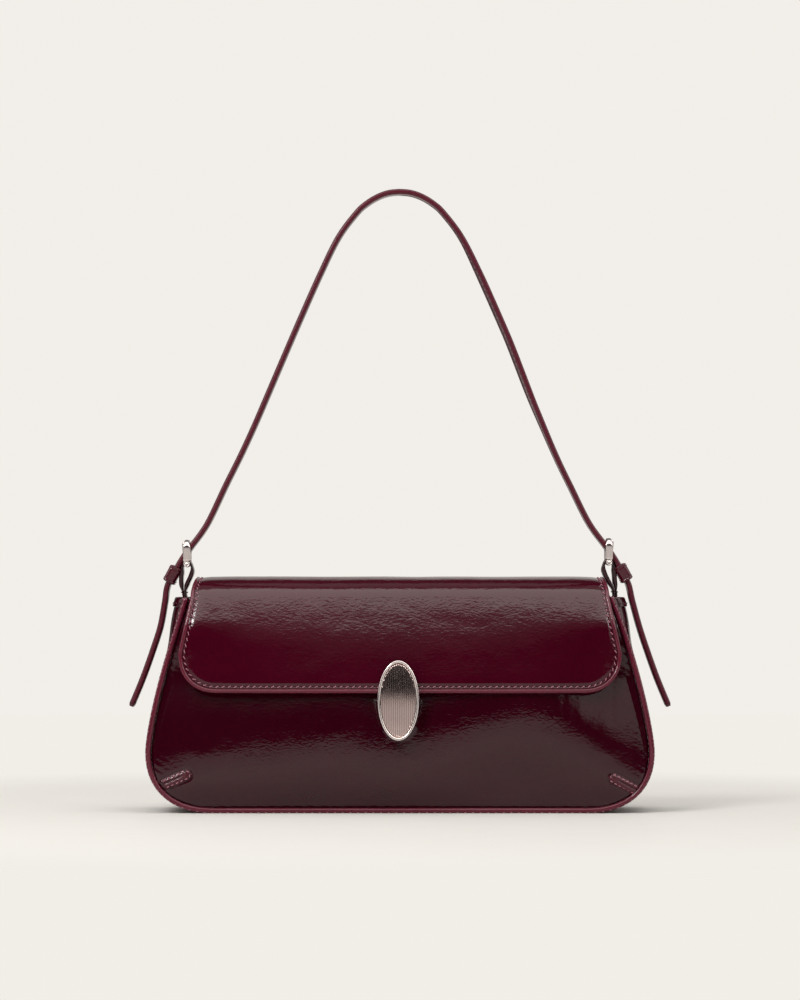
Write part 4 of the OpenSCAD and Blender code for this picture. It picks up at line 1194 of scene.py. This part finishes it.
def buckle(name, place):
    """Bent wire frame with an eye at each end of the heel bar, and a curved prong."""
    def spot(x, y, z):
        return place((BUCKLE_X + x, y, HEEL_Z + z))

    def eye(tag, body, centre, section):
        section = [(-y, r) for y, r in section] + section[::-1]
        rings = [[spot(r * cos(a), centre + y, r * sin(a)) for a in turns(28)] for y, r in section]
        section_piece(name + tag, rings, NICKEL, body, closed=True, slot="nickel")

    def wire(t):
        """Half width of the frame's wire, more at its sides than over its top."""
        return between(1.35, 2.05, ease((abs(t - 0.5) - 0.1) / 0.2))

    side_y = STRAP_W / 2 + 0.5 + FRAME_R
    r = 3.2
    corner = [(side_y - r + r * cos(a), FRAME_H - r + r * sin(a))
              for a in steps(0, pi / 2, 10)]
    half = [(side_y, z) for z in steps(1.3, FRAME_H - r, 6)][:-1] + corner
    path = [spot(0, y, z) for y, z in half + [(-y, z) for y, z in reversed(half)]]
    side = place((1, 0, 0))
    body = name + "_buckle"
    section_piece(name + "_buckle_wire", tube_rings(path, side, FRAME_R, wire, 28, 0.62), NICKEL, body,
                  replaces=[name + "_buckle_frame"], slot="nickel")
    bar = [spot(0, y, 0) for y in steps(-side_y - FRAME_R, side_y + FRAME_R, 4)]
    section_piece(name + "_heel_pin", tube_rings(bar, side, HEEL_R, count=24), NICKEL, body,
                  replaces=[name + "_heel_bar"], slot="nickel")
    for end, tag in ((1, "back"), (-1, "front")):
        eye("_buckle_eye_" + tag, body, end * side_y, [(1.4, 1.15), (1.4, 1.5), (1.15, 1.72)])
    reach = FRAME_H + 0.6
    lean = atan2(FRAME_R + PRONG_D / 2 + 0.1 - HEEL_R, FRAME_H)
    spine = []
    for t in steps(0, 1, 24):
        bend = 0.2 * sin(pi * t) - 0.5 * max(0, t - 0.86) / 0.14
        spine.append(spot(HEEL_R + reach * t * sin(lean) + bend, 0, reach * t * cos(lean)))
    body = name + "_prong"
    section_piece(name + "_prong_bar", tube_rings(spine, place((0, 1, 0)),
                  lambda t: PRONG_D / 2 * sqrt(max(0.03, 1 - max(0, (t - 0.9) / 0.1) ** 2))),
                  NICKEL, body, replaces=[body], slot="nickel")
    eye("_prong_ring", body, 0, [(0.75, 1.06), (0.75, 1.6), (0.55, 1.86)])


two_ends(chape)
two_ends(keeper)
two_ends(buckle)


# Darts

def dart(tag, start, end):
    """A stitched tab over the pinched fold at a lower corner of the front, with the fold's slit in it."""
    (x0, z0), (x1, z1) = start, end
    run = Vector((x1 - x0, 0, z1 - z0))
    size = run.length
    run.normalize()
    off = Vector((-run.z, 0, run.x)) * (1 if x0 < 0 else -1)

    def spot(along, side, rise):
        p = Vector((x0, 0, z0)) + along * run + side * off
        p.x = copysign(min(abs(p.x), half_w(p.z, PIPING_R)), p.x)
        return Vector((p.x, panel_point(p.x, p.z, FRONT_BELLY, 1, True) - rise, p.z))

    grid = []
    for along in [-1.2 + (size + DART_HALF + 1.2) * sin(pi / 2 * t) for t in steps(0, 1, 60)]:
        half = sqrt(max(0.01, DART_HALF ** 2 - max(0, along - size) ** 2))
        row = []
        for u in crowded(28):
            inward = (1 - abs(u)) * half
            slit = (1 - ease((along / size - 0.7) / 0.2)) * exp(-((u * half - 0.35) / 0.42) ** 2)
            seam = exp(-((inward - 0.95) / 0.4) ** 2)
            pucker = 0.07 * sin(2 * pi * along / 2.9) * (1 - seam)
            swell = 0.62 * rounded(min(inward, size + DART_HALF - along) / 0.5)
            rise = swell + pucker - 0.85 * slit - 0.24 * seam
            row.append((spot(along, u * half, rise), spot(along, u * half, -0.4)))
        grid.append(row)
    sheet_piece("dart_" + tag, grid, DART, "bag", slot="patent_leather")
    inner = DART_HALF - 0.95
    bend = [(size + inner * cos(a), inner * sin(a)) for a in steps(pi / 2, -pi / 2, 8)]
    path = [spot(a, b, 0.42) for a, b in [(0, inner)] + bend + [(0, -inner)]]
    return sewn_row(path, Vector((0.12 * copysign(1, x0), -1, -0.2)), 2.7, 0.6)


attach(stitches("dart_stitches", [dart(tag, *ends) for tag, ends in zip(("left", "right"), DARTS)],
                 1.9, 0.25, 0.4, 0.2), "bag")


# Strap as it stands

LEAN_LEFT, LEAN_RIGHT, RIGHT_UP = 0.9, 1.4, 1.0


def lean():
    """The strap stands a little to the left, and higher at its right buckle, as in the photo."""
    parts = ("strap_", "chape_", "keeper_", "buckle_", "pin", "prong_")
    low, low_chape, whole, left_end, right_end, up_end = 98, 118, 128, 180, 222, 150
    for made in scene.collection.objects:
        if made.type != "MESH" or made.name in nodes or not any(word in made.name for word in parts):
            continue
        start = low_chape if "chape" in made.name else low
        for spot in made.data.vertices:
            z = spot.co.z / MM
            held = MM * ease((z - start) / (whole - start))
            if spot.co.x < 0:
                spot.co.x -= LEAN_LEFT * held * (1 - ease((z - left_end) / 40))
            else:
                spot.co.x -= LEAN_RIGHT * held * (1 - ease((z - right_end) / 45))
                spot.co.z += RIGHT_UP * held * (1 - ease((z - up_end) / 40))


lean()


# Solids that are seen as they are

finishes = {"base_board": BOARD, "closure_backing": NICKEL, "closure_screws": NICKEL, "magnet_cup": NICKEL,
            "magnet": MAGNET, "striker_plate": NICKEL, "striker_washer": NICKEL}
for name, finish in finishes.items():
    for slot in nodes[name].material_slots:
        slot.material = finish
    if not nodes[name].material_slots:
        nodes[name].data.materials.append(finish)


# Studio

PALE = tone(241, 238, 232)


def floor():
    """A round pale table top that melts into the pale room far from the bag."""
    reach, spokes = 1750, 96
    mesh = bpy.data.meshes.new("floor")
    mesh.from_pydata([Vector((cos(a), sin(a), 0)) * reach * MM for a in turns(spokes)], [],
                     [list(range(spokes))])
    made = bpy.data.objects.new("floor", mesh)
    scene.collection.objects.link(made)
    paper, tree, shader, place = material("Pale table", 0.62, level=0.3)
    grain = clouds(tree, place, 35.0, 6.0)
    colours(tree, shader, grain, tone(239, 236, 229), tone(243, 240, 234))
    relief(tree, shader, grain, 0.00004)
    light = tree.nodes.new("ShaderNodeLightPath").outputs
    seen = maths(tree, "MAXIMUM", light["Is Camera Ray"], light["Is Glossy Ray"])
    away = add(tree, "ShaderNodeVectorMath", {0: place}, operation="LENGTH").outputs["Value"]
    glow = add(tree, "ShaderNodeEmission", {"Color": PALE})
    lit = add(tree, "ShaderNodeMixShader", {0: maths(tree, "MULTIPLY", seen, ramp(tree, away, 0.24, 0.5)),
                                            1: shader.outputs[0], 2: glow.outputs[0]})
    clear = tree.nodes.new("ShaderNodeBsdfTransparent")
    edge = add(tree, "ShaderNodeMixShader", {0: ramp(tree, away, 1.35, 1.7), 1: lit.outputs[0],
                                             2: clear.outputs[0]})
    tree.links.new(edge.outputs[0], tree.nodes["Material Output"].inputs["Surface"])
    mesh.materials.append(paper)


# What glossy finishes mirror, from straight ahead (0) over the top (90) to behind (180), in degrees:
# the level starts at ROOM_AHEAD and changes by the third number between the first two
ROOM_AHEAD = 0.88
ROOM = [(5.5, 7.5, -0.865), (24, 28, 0.17), (31.5, 37.5, 0.33), (38, 42.5, 2.8), (86, 93, -2.85),
        (119, 126, -0.42), (141, 149, 0.68)]


def world():
    """A pale room to the camera; glossy finishes mirror a soft box overhead and a dark side in front."""
    made = bpy.data.worlds.new("Studio")
    scene.world = made
    made.use_nodes = True
    tree = made.node_tree
    tree.nodes.clear()
    light = tree.nodes.new("ShaderNodeLightPath").outputs
    way = tree.nodes.new("ShaderNodeTexCoord").outputs["Generated"]
    parts = add(tree, "ShaderNodeSeparateXYZ", {0: way}).outputs
    up = parts["Z"]
    ahead = maths(tree, "MULTIPLY", parts["Y"], -1.0)
    rise, turn = maths(tree, "ARCTAN2", up, ahead), maths(tree, "ARCTAN2", parts["X"], ahead)
    turn_left = maths(tree, "MULTIPLY", turn, -1.0)

    def change(angle, low, high, amount):
        return ramp(tree, angle, radians(low), radians(high), 0.0, amount)

    level = ROOM_AHEAD
    for low, high, amount in ROOM:
        level = maths(tree, "ADD", change(rise, low, high, amount), level)
    right = maths(tree, "MULTIPLY", change(turn, 21, 26, 0.95), ramp(tree, up, 0.22, 0.29))
    sides = maths(tree, "MULTIPLY", maths(tree, "MAXIMUM", right, change(turn_left, 45, 80, 0.42)),
                  one_less(tree, ramp(tree, up, 0.42, 0.55)))
    low_left = maths(tree, "MULTIPLY", change(turn_left, 95, 115, 0.85),
                     one_less(tree, ramp(tree, up, 0.12, 0.2)))
    level = maths(tree, "MULTIPLY", maths(tree, "MAXIMUM", level, sides), one_less(tree, low_left))
    camera_ray, glossy_ray = light["Is Camera Ray"], light["Is Glossy Ray"]
    level = maths(tree, "MULTIPLY_ADD", level, one_less(tree, camera_ray), camera_ray)
    seen = add(tree, "ShaderNodeBackground", {"Color": tone(242, 238, 233), "Strength": level})
    high = maths(tree, "POWER", maths(tree, "MAXIMUM", up, 0.0), 2.0)
    fill = add(tree, "ShaderNodeBackground", {"Color": (1, 0.985, 0.965, 1),
               "Strength": maths(tree, "MULTIPLY_ADD", high, 0.85, 0.16)})
    shown = maths(tree, "MAXIMUM", maths(tree, "MAXIMUM", camera_ray, glossy_ray),
                  light["Is Transmission Ray"])
    mix = add(tree, "ShaderNodeMixShader", {0: shown, 1: fill.outputs[0], 2: seen.outputs[0]})
    out = tree.nodes.new("ShaderNodeOutputWorld")
    tree.links.new(mix.outputs[0], out.inputs["Surface"])


def lamp(name, place, aim, size, power, size_y=None, mirrored=False):
    """An area lamp that either lights the object without showing in its gloss or only shows in its gloss."""
    data = bpy.data.lights.new(name, "AREA")
    data.shape, data.size, data.size_y, data.energy = "RECTANGLE", size, size_y or size, power
    made = bpy.data.objects.new(name, data)
    made.location = place
    made.rotation_euler = (Vector(aim) - Vector(place)).to_track_quat("-Z", "Y").to_euler()
    made.visible_glossy, made.visible_diffuse = mirrored, not mirrored
    scene.collection.objects.link(made)


def camera():
    """A long lens, ahead of the bag and a little above its middle."""
    data = bpy.data.cameras.new("camera")
    data.sensor_fit, data.sensor_height, data.lens = "VERTICAL", 36, 149.3
    made = bpy.data.objects.new("camera", data)
    tilt, away = radians(-0.95), 2.3
    aim = Vector((0, -0.01, 0.1724))
    made.location = aim + away * Vector((0, -cos(tilt), sin(tilt)))
    made.rotation_euler = (aim - made.location).to_track_quat("-Z", "Y").to_euler()
    scene.collection.objects.link(made)
    scene.camera = made


floor()
world()
lamp("Key, upper left", (-0.62, -0.95, 1.05), (0, 0, 0.05), 0.5, 8.0)
lamp("Overhead", (0.05, -0.25, 1.2), (0, 0.02, 0.08), 1.0, 2.9, size_y=0.6)
lamp("Strip, left front", (-0.7525, -0.858, 0.883), (-0.115, -0.03, 0.11), 0.5, 8.5,
     size_y=0.2, mirrored=True)
lamp("Strip, right front", (0.787, -0.903, 0.799), (0.115, -0.03, 0.11), 0.12, 1.1,
     size_y=0.3, mirrored=True)
camera()
scene.view_settings.view_transform = "Standard"
